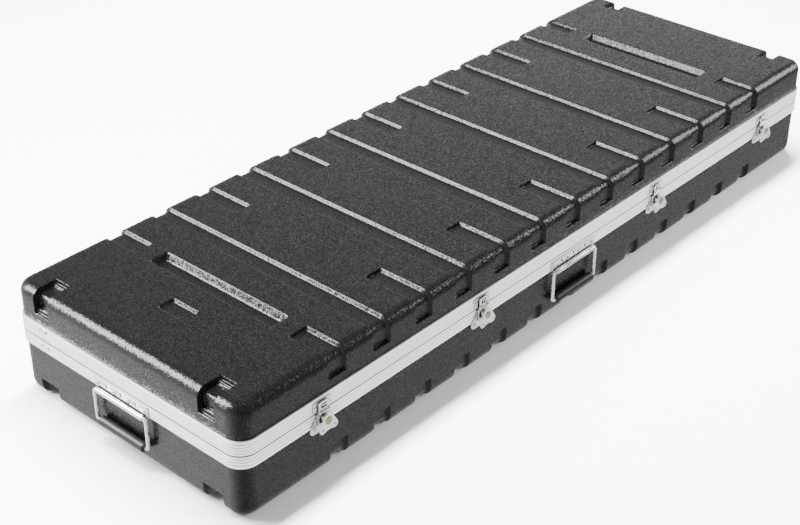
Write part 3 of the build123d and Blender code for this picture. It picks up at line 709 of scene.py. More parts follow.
def pressing(loops: list[np.ndarray], near: float, far: float, rim: float) -> Skin:
    """Sheet piece with rounded rims, from an outline and its holes.

    The edge's section is a quarter circle of radius rim at each face, carried round every loop, and
    flat faces close it.

    Args:
        loops: the outline first, then its holes.
        near: depth of the near face.
        far: depth of the far face.
        rim: radius of the rims.

    Returns:
        Skin whose points are across, up and depth.
    """
    loops = [loop if (area(loop) > 0) == (number == 0) else loop[::-1] for number, loop in enumerate(loops)]
    turn = np.radians([0, 30, 60, 90])
    inset = np.concatenate([rim * (1 - np.sin(turn)), rim * (1 - np.cos(turn))])
    depth = np.concatenate([near + rim * (1 - np.cos(turn)), far - rim * (1 - np.sin(turn))])
    skins = Skin(np.zeros((0, 3)), [])
    ends: tuple[list, list] = ([], [])
    for loop in loops:
        ring = loop[None] + inset[:, None, None] * inward(loop)[None]
        full = np.dstack([ring, np.broadcast_to(depth[:, None], ring.shape[:2])])
        skins = skins + grid_skin(full, ring_columns=True)
        ends[0].append(full[0])
        ends[1].append(full[-1])
    for end in ends:
        triangles = tessellate_polygon([[Vector(point) for point in loop] for loop in end])
        skins = skins + Skin(np.vstack(end), [list(triangle) for triangle in triangles])
    return skins


def tube(path: np.ndarray, radius: float, flat: np.ndarray, closed: bool, count: int = 18) -> Skin:
    """Round bar along a path that lies in one plane.

    A point is the path's point plus radius times (cosine of the angle times the path's left, plus sine
    of the angle times the plane's normal).

    Args:
        path: centre line, as rows of points.
        radius: radius of the bar.
        flat: normal of the path's plane.
        closed: whether the path is a loop.
        count: number of points round the bar.

    Returns:
        The surface, with its ends closed where the path is open.
    """
    ahead = np.roll(path, -1, 0) - np.roll(path, 1, 0)
    if not closed:
        ahead[0], ahead[-1] = path[1] - path[0], path[-1] - path[-2]
    ahead /= np.linalg.norm(ahead, axis=1)[:, None]
    left = np.cross(flat[None], ahead)
    angle = np.linspace(0, 2 * np.pi, count, endpoint=False)
    spoke = np.cos(angle)[None, :, None] * left[:, None] + np.sin(angle)[None, :, None] * flat[None, None]
    skin = grid_skin(path[:, None] + radius * spoke, ring_rows=closed, ring_columns=True)
    if not closed:
        last = len(skin.points)
        skin.faces += [list(range(count)), list(range(last - count, last))]
    return skin


def lathe(profile: np.ndarray, count: int = 40) -> Skin:
    """Turned piece: radius and height pairs carried round the depth axis, closed at both ends.

    Args:
        profile: rows of radius and height.
        count: number of points round the piece.

    Returns:
        The surface.
    """
    angle = np.linspace(0, 2 * np.pi, count, endpoint=False)
    radius, height = profile[:, :1], profile[:, 1:]
    points = np.stack(
        [radius * np.cos(angle), radius * np.sin(angle), np.broadcast_to(height, (len(profile), count))], 2
    )
    skin = grid_skin(points, ring_columns=True)
    last = len(skin.points)
    skin.faces += [list(range(count)), list(range(last - count, last))]
    return skin


@dataclass
class RoundedOutline:
    """Way round a rectangle with rounded corners, as centre points and outward directions.

    A point at any distance outside the inner rectangle is its centre plus that distance outward, so
    the sides stay straight and the corners are arcs.
    """

    xs: np.ndarray
    ys: np.ndarray
    corner_angles: tuple[float, ...] = CORNER_ANGLES

    def walk(self) -> tuple[np.ndarray, np.ndarray]:
        """Centres and outward directions, anticlockwise from the front's left end.

        Returns:
            Centre points, and the unit direction outward at each.
        """
        xs, ys = self.xs, self.ys
        low, high = np.full_like, np.full_like
        sides = [
            (np.column_stack([xs, low(xs, ys[0])]), -90.0),
            (np.column_stack([high(ys, xs[-1]), ys]), 0.0),
            (np.column_stack([xs[::-1], high(xs, ys[-1])]), 90.0),
            (np.column_stack([low(ys, xs[0]), ys[::-1]]), 180.0),
        ]
        turn = np.array(self.corner_angles[1:-1], float)
        centres, angles = [], []
        for points, angle in sides:
            centres += [points, np.repeat(points[-1:], len(turn), 0)]
            angles += [np.full(len(points), angle), angle + turn]
        radians = np.radians(np.concatenate(angles))
        return np.vstack(centres), np.column_stack([np.cos(radians), np.sin(radians)])


def spread(low: float, high: float, lines: list[float], gap: float = 0.35) -> np.ndarray:
    """Grid lines between two limits, each rounded to a multiple of gap, sorted and without doubles.

    Args:
        low: lower limit.
        high: upper limit.
        lines: wanted grid lines.
        gap: step between lines, and least distance to a limit.

    Returns:
        The grid lines, with both limits.
    """
    inside = np.unique(np.round(np.array(lines, float) / gap) * gap)
    inside = inside[(inside > low + gap) & (inside < high - gap)]
    return np.concatenate([[low], inside, [high]])


@dataclass(frozen=True)
class Groove:
    """Groove that crosses a top edge: along Y over the long walls, or along X over the ends."""

    over_end: bool
    centre: float
    half_width: float
    reach: float  # from the moulding's face, over the top
    foot: float  # lower end, above the moulding's rim
    depth: float = GROOVE_DEPTH
    steep: float = FLANK_SLOPE

    def depth_at(self, points: np.ndarray, half: tuple[float, float]) -> np.ndarray:
        """Depth of the groove at points of the smooth moulding.

        The flank line, the end line and the foot line rise from zero at the groove's outline. The
        lowest of them is held between zero and the full depth, with each bend rounded.

        Args:
            points: points in millimetres, with x, y and z along the last axis.
            half: half of the moulding's length and of its width.

        Returns:
            Depth at each point.
        """
        x, y, z = points[..., 0], points[..., 1], points[..., 2]
        lateral = np.abs(np.abs(y) - self.centre) if self.over_end else np.abs(x - self.centre)
        inset = half[0] - np.abs(x) if self.over_end else half[1] - np.abs(y)
        flank = (self.half_width - lateral) * self.steep
        end = (self.reach - inset) * 3.0
        foot = (z - self.foot) * 3.0
        rise = soft_min(soft_min(flank, end, 2.0), foot, 1.2)
        return soft_min(soft_max(rise, 0.0, 0.8), self.depth, 1.2)


@dataclass(frozen=True)
class Pocket:
    """Recess in the top of the moulding."""

    x: float
    half_x: float
    half_y: float
    depth: float

    def depth_at(self, points: np.ndarray, top: float) -> np.ndarray:
        """Depth of the recess, from rounded flank and end lines as on a groove.

        Args:
            points: points in millimetres, with x, y and z along the last axis.
            top: height of the moulding's flat top.

        Returns:
            Depth at each point.
        """
        flank = (self.half_x - np.abs(points[..., 0] - self.x)) * FLANK_SLOPE
        end = (self.half_y - np.abs(points[..., 1])) * 2.2
        rise = soft_min(flank, end, 4.0) - 1e3 * (np.abs(points[..., 2] - top) > 0.01)
        return soft_min(soft_max(rise, 0.0, 0.8), self.depth, 1.2)


@dataclass
class Moulding:
    """Vacuum-formed half of the case, crown up and rim at zero."""

    height: float
    edge_radius: float
    grooves: list[Groove]
    pockets: list[Pocket]
    foot_lines: list[float]

    HALF_X = HALF_LENGTH - BAND_PROUD
    HALF_Y = HALF_WIDTH - BAND_PROUD
    CORNER = BAND_CORNER - BAND_PROUD

    def lines(self) -> tuple[np.ndarray, np.ndarray]:
        """Grid lines across the top, close together wherever a flank or an end bends.

        Returns:
            Grid lines along x and along y.
        """
        flank = np.array([0.9, 0.25, -0.35, -1.7, -3.0, -3.5, -4.3])
        end = np.array([0.8, 0.2, -0.4, -1.4, -2.0, -2.8])
        xs, ys = [], []
        for groove in self.grooves:
            places = [groove.half_width + flank, -groove.half_width - flank, [0.0]]
            if groove.over_end:
                ys += [way * (groove.centre + p) for way in (-1, 1) for p in np.concatenate(places)]
                xs += [way * (self.HALF_X - groove.reach - p) for way in (-1, 1) for p in end]
            else:
                xs += list(groove.centre + np.concatenate(places))
                ys += [way * (self.HALF_Y - groove.reach - p) for way in (-1, 1) for p in end]
        for pocket in self.pockets:
            deep = np.concatenate([flank, [-5.8, -7.0, -8.4]]) if pocket.depth > 6 else flank
            xs += [pocket.x + way * (pocket.half_x + p) for way in (-1, 1) for p in deep]
            ys += [way * (pocket.half_y + p) for way in (-1, 1) for p in np.concatenate([end, [-4.6, -5.8]])]
        xs += [GROOVE_PITCH / 2 + GROOVE_PITCH * step for step in range(-7, 7)]
        ys += list(np.linspace(-180, 180, 13))
        inner_x, inner_y = self.HALF_X - self.CORNER, self.HALF_Y - self.CORNER
        ys = [y for y in ys if abs(y) < inner_y]
        return spread(-inner_x, inner_x, xs), spread(-inner_y, inner_y, ys)

    def section(self) -> np.ndarray:
        """Way up the wall, round the edge and in over the top, as inset, height and slope angle.

        Returns:
            Rows of inset, height and slope.
        """
        straight = self.height - self.edge_radius
        walls = [z for z in sorted(self.foot_lines) if z < straight - 0.5] + [straight]
        angle = np.radians(np.linspace(0, 90, 13)[1:])
        flat = self.edge_radius + (self.CORNER - self.edge_radius) * np.array([0.35, 0.7, 1.0])
        inset = np.concatenate([np.zeros(len(walls)), self.edge_radius * (1 - np.cos(angle)), flat])
        round_up = straight + self.edge_radius * np.sin(angle)
        height = np.concatenate([walls, round_up, np.full(len(flat), self.height)])
        slope = np.concatenate([np.zeros(len(walls)), angle, np.full(len(flat), np.pi / 2)])
        return np.column_stack([inset, height, slope])

    def depth_at(self, points: np.ndarray) -> np.ndarray:
        """Depth of whatever groove or recess lies at each point.

        Args:
            points: points in millimetres, with x, y and z along the last axis.

        Returns:
            Depth at each point.
        """
        half = (self.HALF_X, self.HALF_Y)
        depth = np.zeros(points.shape[:-1])
        for groove in self.grooves:
            depth = np.maximum(depth, groove.depth_at(points, half))
        for pocket in self.pockets:
            depth = np.maximum(depth, pocket.depth_at(points, self.height))
        return depth

    def skin(self) -> Skin:
        """Closed shell: the outer face, the same face one wall thickness further in, and the rim.

        Returns:
            The surface.
        """
        xs, ys = self.lines()
        centres, outward = RoundedOutline(xs, ys).walk()
        inset, height, slope = self.section().T
        reach = (self.CORNER - inset)[:, None, None]
        flat = centres[None] + reach * outward[None]
        wall = np.dstack([flat, np.broadcast_to(height[:, None], flat.shape[:2])])
        up = np.broadcast_to(np.sin(slope)[:, None, None], wall.shape[:2] + (1,))
        normal = np.concatenate([np.cos(slope)[:, None, None] * outward[None], up], 2)
        top = np.stack(np.meshgrid(xs, ys, [self.height], indexing="ij"), -1)[:, :, 0]
        wall_depth, top_depth = self.depth_at(wall)[..., None], self.depth_at(top)[..., None]
        above = np.array([0.0, 0.0, 1.0])
        outer = grid_skin(wall - wall_depth * normal, ring_columns=True)
        outer_top = grid_skin((top - top_depth * above).transpose(1, 0, 2))
        inside = wall - (wall_depth + WALL) * normal
        rows = np.r_[0 : len(inside) - 1 : 2, len(inside) - 1]
        inner = grid_skin(inside[rows], ring_columns=True)
        inner_top = grid_skin((top - (top_depth + WALL) * above).transpose(1, 0, 2))
        count = len(centres)
        rim = grid_skin(np.stack([inner.points[:count], outer.points[:count]]), ring_columns=True)
        inner.faces = [face[::-1] for face in inner.faces]
        inner_top.faces = [face[::-1] for face in inner_top.faces]
        return outer + outer_top + inner + inner_top + rim


@dataclass
class Shells:
    """The two mouldings."""

    finish: bpy.types.Material

    def flatten_faces(self, shell: bpy.types.Object) -> bpy.types.Object:
        """Lets the large flat faces, not the small ones of their rims, set the shading where they meet.

        Args:
            shell: the moulding's object.

        Returns:
            The same object.
        """
        weighted = shell.modifiers.new("flat_faces", "WEIGHTED_NORMAL")
        weighted.mode, weighted.keep_sharp = "FACE_AREA", True
        return shell

    def lid(self) -> bpy.types.Object:
        """Lid with its grooves, deep slots, blank plate recess and stacking notches.

        Returns:
            The object.
        """
        foot = EDGE_SEAT + 14.0
        grooves = []
        for number, place in enumerate(GROOVE_PLACES):
            reach = 100.5
            if number % 2:
                reach = 1000.0
            if number in (0, len(GROOVE_PLACES) - 1):
                reach = 75.5
            grooves.append(Groove(False, place, GROOVE_HALF_WIDTH, reach, foot))
        grooves.append(Groove(True, 175.5, 15.5, 39.0, EDGE_SEAT + 20.0, NOTCH_DEPTH, NOTCH_SLOPE))
        grooves.append(Groove(True, 175.5, 15.5, 44.0, EDGE_SEAT + 15.0, 5.0, NOTCH_SLOPE))
        pockets = [Pocket(way * 540.0, 17.5, 129.0, 11.0) for way in (-1, 1)]
        pockets.append(Pocket(-614.5, 15.5, 27.0, 5.0))
        # grid lines up the wall, close together where the grooves' and the notches' feet bend
        feet = [0, 11.8, 25.4, 25.9, 26.4, 27.0, 27.6, 28.2, 28.9, 31.5, 32.0, 32.6, 33.8, 34.8, 35.6, 36.4]
        moulding = Moulding(65.0, 17.0, grooves, pockets, feet)
        skin = moulding.skin()
        skin.points[:, 2] += BAND_TOP - EDGE_SEAT
        piece = Piece("lid_moulding", "lid", Slot.SHELL, self.finish, ("lid_shell",), 70.0, False)
        return self.flatten_faces(piece.make(skin))

    def base(self) -> bpy.types.Object:
        """Base with the grooves round its lower edge, turned crown down.

        Returns:
            The object.
        """
        height = BASE_DEPTH + EDGE_SEAT
        foot = height - 37.0
        grooves = [Groove(False, place, GROOVE_HALF_WIDTH, 57.0, foot) for place in GROOVE_PLACES]
        grooves.append(Groove(True, 178.0, 20.0, 33.0, height - 31.0, NOTCH_DEPTH, NOTCH_SLOPE))
        # grid lines up the wall, as on the lid
        feet = [0, 11.8, 30, 48, 65.4, 65.9, 66.5, 67.2, 67.9, 68.7]
        feet += [71.4, 71.9, 72.5, 74.0, 75.0, 75.6, 76.4, 79.0]
        moulding = Moulding(height, 20.0, grooves, [], feet)
        skin = moulding.skin()
        skin.points = skin.points * np.array([1.0, -1.0, -1.0]) + np.array([0.0, 0.0, height])
        piece = Piece("base_moulding", "base", Slot.SHELL, self.finish, ("base_shell",), 70.0, False)
        return self.flatten_faces(piece.make(skin))


@dataclass
class Valance:
    """Two halves of the bent aluminium extrusion, each open by a hair at its butt joint."""

    lower_finish: bpy.types.Material
    upper_finish: bpy.types.Material
    joint_y: float = 173.5
    joint_gap: float = 0.4
    line_width: float = 0.9
    line_depth: float = 0.6
    edge: float = 0.5

    def lined_face(self, low: float, high: float, count: int) -> list[tuple[float, float]]:
        """Outer face from low to high, with rounded edges and shallow round-bottomed lines.

        Args:
            low: height of the lower edge.
            high: height of the upper edge.
            count: number of lines.

        Returns:
            Insets and heights, in order.
        """
        points = [(self.edge, low), (0.15, low + 0.15), (0.0, low + self.edge)]
        pitch = (high - low) / (count + 1)
        half, depth = self.line_width / 2, self.line_depth
        for number in range(1, count + 1):
            z = low + pitch * number
            points += [(0.0, z - half), (0.7 * depth, z - 0.55 * half), (depth, z)]
            points += [(0.7 * depth, z + 0.55 * half), (0.0, z + half)]
        return points + [(0.0, high - self.edge), (0.15, high - 0.15), (self.edge, high)]

    def bend(self, section: list[tuple[float, float]]) -> Skin:
        """Section of insets and heights carried round the case from one side of the joint to the other.

        Args:
            section: insets and heights, in order round the section.

        Returns:
            The surface.
        """
        profile = np.array(section)
        inner_x, inner_y = HALF_LENGTH - BAND_CORNER, HALF_WIDTH - BAND_CORNER
        half_gap = self.joint_gap / 2
        xs = np.linspace(-inner_x, inner_x, 9)
        ys = np.array([-inner_y, 0.0, self.joint_y - half_gap, self.joint_y + half_gap, inner_y])
        centres, outward = RoundedOutline(xs, ys, tuple(np.linspace(0, 90, 25))).walk()
        gap = np.hypot(centres[:, 0] + inner_x, centres[:, 1] - self.joint_y + half_gap)
        start = int(np.where((gap < 1e-6) & (outward[:, 0] < -0.999))[0][0])
        centres, outward = np.roll(centres, -start, 0), np.roll(outward, -start, 0)
        reach = (BAND_CORNER - profile[:, 0])[:, None, None]
        flat = centres[None] + reach * outward[None]
        points = np.dstack([flat, np.broadcast_to(profile[:, 1][:, None], flat.shape[:2])])
        skin = grid_skin(points, ring_rows=True)
        columns, rows = len(centres), len(profile)
        first = [row * columns for row in range(rows)]
        skin.faces += [first, [index + columns - 1 for index in first]]
        return skin

    def lower(self) -> bpy.types.Object:
        """Half on the base, with the groove for the lid's tongue.

        Returns:
            The object.
        """
        section = self.lined_face(BASE_DEPTH, SPLIT, BASE_LINES)
        section += [(3.0, SPLIT), (3.0, 109.5), (6.0, 109.5), (6.0, SPLIT), (8.2, SPLIT), (8.2, BASE_DEPTH)]
        section += [(6.6, BASE_DEPTH), (6.6, 103.0), (3.0, 103.0), (3.0, BASE_DEPTH)]
        piece = Piece("base_band", "base", Slot.VALANCE, self.lower_finish, ("base_valance",), 35.0)
        return piece.make(self.bend(section))

    def upper(self) -> bpy.types.Object:
        """Half on the lid, with the tongue.

        Returns:
            The object.
        """
        section = self.lined_face(SPLIT, BAND_TOP, LID_LINES)
        section += [(3.0, BAND_TOP), (3.0, 124.0), (6.6, 124.0), (6.6, BAND_TOP)]
        section += [(8.2, BAND_TOP), (8.2, SPLIT), (5.5, SPLIT), (5.5, 110.0), (3.5, 110.0), (3.5, SPLIT)]
        piece = Piece("lid_band", "lid", Slot.VALANCE, self.upper_finish, ("lid_valance",), 35.0)
        return piece.make(self.bend(section))


@dataclass
class TurnLatch:
    """Butterfly turn latch on the front: plate, sliding strap, hook, keeper, wing and slotted spindle."""

    number: int
    across: float
    plated: bpy.types.Material
    brass: bpy.types.Material

    SPINDLE_UP = 102.5
    PIVOT_UP = 114.5
    PIVOT_OUT = 5.0
    BARREL_RADIUS = 2.6
    CAM_THROW = 2.5

    def fit(self, part: str, node: str, body: str, skin: Skin) -> bpy.types.Object:
        """Places one piece of the latch on the front wall.

        Args:
            part: the piece's own name.
            node: kind of CAD node that it takes the place of.
            body: body that carries it.
            skin: its surface as across, up and out.

        Returns:
            The object.
        """
        across, up, out = skin.points.T
        placed = Skin(Side.FRONT.place(across + self.across, out, up), skin.faces)
        slot, finish = (Slot.SPINDLE, self.brass) if part == "spindle" else (Slot.LATCH, self.plated)
        replaced = (f"latch_{node}_{self.number}",)
        return Piece(f"latch_{self.number}_{part}", body, slot, finish, replaced).make(placed)

    def barrel(self, radius: float, start: float, end: float) -> Skin:
        """Rolled barrel along the hook's pivot."""
        path = np.array([(across, self.PIVOT_UP, self.PIVOT_OUT) for across in (start, end)])
        return tube(path, radius, np.array([0.0, 0.0, 1.0]), False, 24)

    def plate(self) -> bpy.types.Object:
        """Base plate with its two lobes.

        Returns:
            The object.
        """
        up = self.SPINDLE_UP
        lobes = [(way * 16.5, up - 15.5, 7.5) for way in (-1, 1)]
        shoulders = [(way * 9.0, up + 3.5, 3.5) for way in (-1, 1)]
        skin = pressing([belt(lobes + shoulders)], 0.0, SHEET, 0.4)
        return self.fit("plate", "plate", "base", skin)

    def keeper(self) -> bpy.types.Object:
        """Keeper plate and its lug.

        Returns:
            The object.
        """
        plate = pressing([rounded_rectangle(35.0, 17.5, 4.0, 0.0, 123.5)], 0.0, SHEET, 0.4)
        lug = pressing([rounded_rectangle(10.0, 7.4, 1.2, 0.0, 3.7)], 125.3, 127.3, 0.5)
        lug.points = lug.points[:, [0, 2, 1]]
        return self.fit("keeper", "keeper", "lid", plate + lug)

    def strap(self) -> bpy.types.Object:
        """Sliding strap with its cam slot, two keyholes and the middle barrel.

        Returns:
            The object.
        """
        outline = rounded_rectangle(21.8, 20.4, 2.0, 0.0, 101.4)
        slot = rounded_rectangle(16.6, 12.4, 5.4, 0.0, 100.0)
        keyholes = [circle(1.5, way * 6.6, 108.9, 16) for way in (-1, 1)]
        strap = pressing([outline, slot, *keyholes], 1.9, 3.4, 0.3)
        neck = pressing([rounded_rectangle(10.0, 7.0, 0.8, 0.0, 110.6)], 1.9, 3.4, 0.3)
        skin = strap + neck + self.barrel(self.BARREL_RADIUS, -5.0, 5.0)
        return self.fit("strap", "slider", f"latch_slider_{self.number}", skin)

    def hook(self) -> bpy.types.Object:
        """Window frame over the keeper's lug, with its end barrels.

        Returns:
            The object.
        """
        frame_outline = rounded_rectangle(20.0, 13.6, 1.6, 0.0, 124.2)
        window = rounded_rectangle(12.0, 7.3, 0.6, 0.0, 123.95)
        skin = pressing([frame_outline, window], 4.2, 5.8, 0.4)
        for way in (-1, 1):
            ear = pressing([rounded_rectangle(4.7, 6.0, 0.5, way * 7.65, 116.6)], 4.2, 5.8, 0.3)
            ends = sorted((way * 5.3, way * 10.0))
            skin = skin + ear + self.barrel(self.BARREL_RADIUS, *ends)
        skin = skin + self.barrel(1.2, -10.0, 10.0)
        return self.fit("hook", "hook", f"latch_hook_{self.number}", skin)

    def wing(self) -> bpy.types.Object:
        """Flat butterfly wing, whose lower edge is hollowed by an arc, and its hub.

        Returns:
            The object.
        """
        up = self.SPINDLE_UP
        outline = belt([(0, up, 10.0), (-11.7, up - 12, 6.2), (11.7, up - 12, 6.2)], 220)
        waist = np.array([0.0, up - 33.8])
        ray = outline - waist
        distance = np.linalg.norm(ray, axis=1)[:, None]
        outline = waist + ray * np.maximum(distance, 18.0) / distance
        holes = [circle(1.7, way * 11.7, up - 12, 20) for way in (-1, 1)]
        sheet = pressing([outline, *holes], 12.2, 14.0, 0.5)
        hub = lathe(np.array([(5.5, 3.7), (5.5, 12.4), (2.5, 12.4), (2.5, 3.7)]))
        hub.points[:, 1] += up
        return self.fit("wing", "wing", f"latch_wing_{self.number}", sheet + hub)

    def spindle(self) -> bpy.types.Object:
        """Domed, slotted head with the shank and cam behind it.

        The head is a polar grid. Its height falls from the crown as a circle's arc does, and drops by
        the slot's depth where a point lies within the slot's half width and half length.

        Returns:
            The object.
        """
        radius = np.concatenate([[0.0], np.linspace(0.3, 5.9, 20), [6.3, 6.4]])[:, None]
        angle = np.linspace(0, 2 * np.pi, 96, endpoint=False)[None, :]
        across, up = radius * np.cos(angle), radius * np.sin(angle)
        dome = 15.8 - 0.9 * (radius / 6.4) ** 2 - 0.4 * np.clip((radius - 5.9) / 0.5, 0, 1) ** 2
        slot = soft_min((0.85 - np.abs(across)) * 3.0, (4.3 - np.abs(up)) * 2.0, 0.4)
        out = dome - np.clip(slot, 0.0, 1.0)
        face = np.dstack([across, up, out])
        side = face[-1:].copy()
        side[..., 2] = 14.0
        head = grid_skin(np.concatenate([face, side]), ring_columns=True)
        head.faces.append(list(range(len(head.points) - 96, len(head.points))))
        shank = lathe(np.array([(2.5, 0.3), (2.5, 14.0)]), 24)
        cam = lathe(np.array([(5.4, 1.9), (5.4, 3.7)]), 32)
        cam.points[:, 1] -= self.CAM_THROW
        skin = head + shank + cam
        skin.points[:, 1] += self.SPINDLE_UP
        return self.fit("spindle", "spindle", f"latch_wing_{self.number}", skin)

    def build(self) -> None:
        """Makes every piece of the latch."""
        for make in (self.plate, self.keeper, self.strap, self.hook, self.wing, self.spindle):
            make()


@dataclass
class DropHandle:
    """Drop handle: riveted bracket curled over the rod, wire bail and black grip."""

    side: Side
    plated: bpy.types.Material
    chrome: bpy.types.Material
    grip_plastic: bpy.types.Material

    ROD_OUT = 5.0
    ROD_UP = 88.5
    HALF_BAIL = 55.5
    DROP = 52.5
    BEND = 5.0
    ROD_RADIUS = 3.0
    GRIP_HALF = 48.0
    GRIP_RADIUS = 7.3
    GRIP_EDGE = 1.6
    BORE_RADIUS = 3.02
    RIB_PITCH = 6.5

    def fit(
        self,
        part: str,
        body: str,
        slot: Slot,
        finish: bpy.types.Material,
        skin: Skin,
    ) -> bpy.types.Object:
        """Places one piece of the handle on this wall.

        Args:
            part: the piece's own name.
            body: body that carries it.
            slot: its material slot.
            finish: its material.
            skin: its surface as across, up and out.

        Returns:
            The object.
        """
        across, up, out = skin.points.T
        side = self.side.value
        piece = Piece(f"{side}_handle_{part}", body, slot, finish, (f"handle_{part}_{side}",))
        return piece.make(Skin(self.side.place(across, out, up), skin.faces))

    def curl(self, start: float, end: float, low: float, high: float) -> Skin:
        """Edge rolled over the rod: an arc between two angles, 1.6 mm thick, carried across.

        Angles are measured at the rod from straight out, upwards.

        Args:
            start: where it begins, across.
            end: where it ends, across.
            low: angle at which the arc begins, in degrees.
            high: angle at which the arc ends, in degrees.

        Returns:
            Its surface as across, up and out.
        """
        angle = np.radians(np.linspace(low, high, 25))
        outer = np.column_stack([np.cos(angle), np.sin(angle)]) * 4.65
        inner = np.column_stack([np.cos(angle), np.sin(angle)])[::-1] * 3.05
        ring = np.vstack([outer, inner])
        ends = np.array([start, start + 0.4, end - 0.4, end])
        shrink = np.array([0.94, 1.0, 1.0, 0.94])
        middle = ring / np.linalg.norm(ring, axis=1)[:, None] * 3.85
        size = middle[None] + (ring - middle)[None] * shrink[:, None, None]
        across = np.broadcast_to(ends[:, None], size.shape[:2])
        points = np.dstack([across, size[..., 1] + self.ROD_UP, size[..., 0] + self.ROD_OUT])
        skin = grid_skin(points, ring_columns=True)
        count, last = len(ring), len(skin.points)
        skin.faces += [list(range(count)), list(range(last - count, last))]
        return skin

    def bracket(self) -> bpy.types.Object:
        """Plate with three slots, the curled edge and two tabs that close round the rod.

        Returns:
            The object.
        """
        outline = rounded_rectangle(116.0, 16.0, 5.0, 0.0, 99.0)
        slots = []
        for across in (-31.0, 0.0, 31.0):
            slot = rounded_rectangle(3.0, 7.0, 1.4, 0.0, 0.0)
            lean = math.radians(24)
            turn = np.array([[math.cos(lean), -math.sin(lean)], [math.sin(lean), math.cos(lean)]])
            slots.append(slot @ turn.T + np.array([across, 100.6]))
        skin = pressing([outline, *slots], 0.0, SHEET, 0.4)
        spans = [(-50.2, -33.8, -9.0, 188.0), (-28.2, 28.2, -9.0, 188.0), (33.8, 50.2, -9.0, 188.0)]
        tabs = [(-33.5, -28.5, -178.0, 178.0), (28.5, 33.5, -178.0, 178.0)]
        for start, end, low, high in spans + tabs:
            apron = rounded_rectangle(end - start, 6.0, 0.4, (start + end) / 2, 90.0)
            skin = skin + pressing([apron], 0.0, SHEET, 0.2) + self.curl(start, end, low, high)
        return self.fit("bracket", "base", Slot.LATCH, self.plated, skin)

    def loop(self) -> np.ndarray:
        """Centre line of the bail: a rectangle with bent corners.

        Returns:
            Points in order, as rows of across, up and out.
        """
        middle = self.ROD_UP - self.DROP / 2
        flat = rounded_rectangle(2 * self.HALF_BAIL, self.DROP, self.BEND, 0.0, middle)
        return np.column_stack([flat, np.full(len(flat), self.ROD_OUT)])

    def bail(self) -> bpy.types.Object:
        """Closed wire loop."""
        skin = tube(self.loop(), self.ROD_RADIUS, np.array([0.0, 0.0, 1.0]), True, 20)
        return self.fit("bail", f"handle_{self.side.value}", Slot.BAIL, self.chrome, skin)

    def grip(self) -> bpy.types.Object:
        """Sleeve whose underside has finger ribs.

        The radius is 7.3 mm less a cosine ripple along the bar, which fades in below the bar's middle
        height, and rounds off at both ends.

        Returns:
            The object.
        """
        half, edge = self.GRIP_HALF, self.GRIP_EDGE
        end = np.array([44.8, 46.2, 47.2, 47.8, half])
        along = np.concatenate([-end[::-1], np.linspace(-43, 43, 101), end])
        from_end = (half - np.abs(along))[:, None]
        into_edge = 1 - np.minimum(from_end, edge) / edge
        end_round = self.GRIP_RADIUS - edge * (1 - np.sqrt(np.clip(1 - into_edge**2, 0, 1)))
        angle = np.linspace(0, 2 * np.pi, 40, endpoint=False)[None, :]
        below = np.clip(-np.sin(angle) * 1.4, 0, 1)
        wave = 0.5 - 0.5 * np.cos(2 * np.pi * along[:, None] / self.RIB_PITCH)
        ripple = 0.55 * wave * (np.abs(along[:, None]) < 42.3)
        radius = end_round - ripple * below
        out = self.ROD_OUT + radius * np.cos(angle)
        up = self.ROD_UP - self.DROP + radius * np.sin(angle)
        points = np.dstack([np.broadcast_to(along[:, None], out.shape), up, out])
        bore = [points[:1] * 1.0, points[-1:] * 1.0]
        for ring in bore:
            ring[..., 2] = self.ROD_OUT + self.BORE_RADIUS * np.cos(angle)
            ring[..., 1] = self.ROD_UP - self.DROP + self.BORE_RADIUS * np.sin(angle)
        points = np.concatenate([bore[0], points, bore[1]])
        skin = grid_skin(points, ring_rows=True, ring_columns=True)
        return self.fit("grip", f"handle_{self.side.value}", Slot.GRIP, self.grip_plastic, skin)

    def build(self) -> None:
        """Makes every piece of the handle."""
        for make in (self.bracket, self.bail, self.grip):
            make()


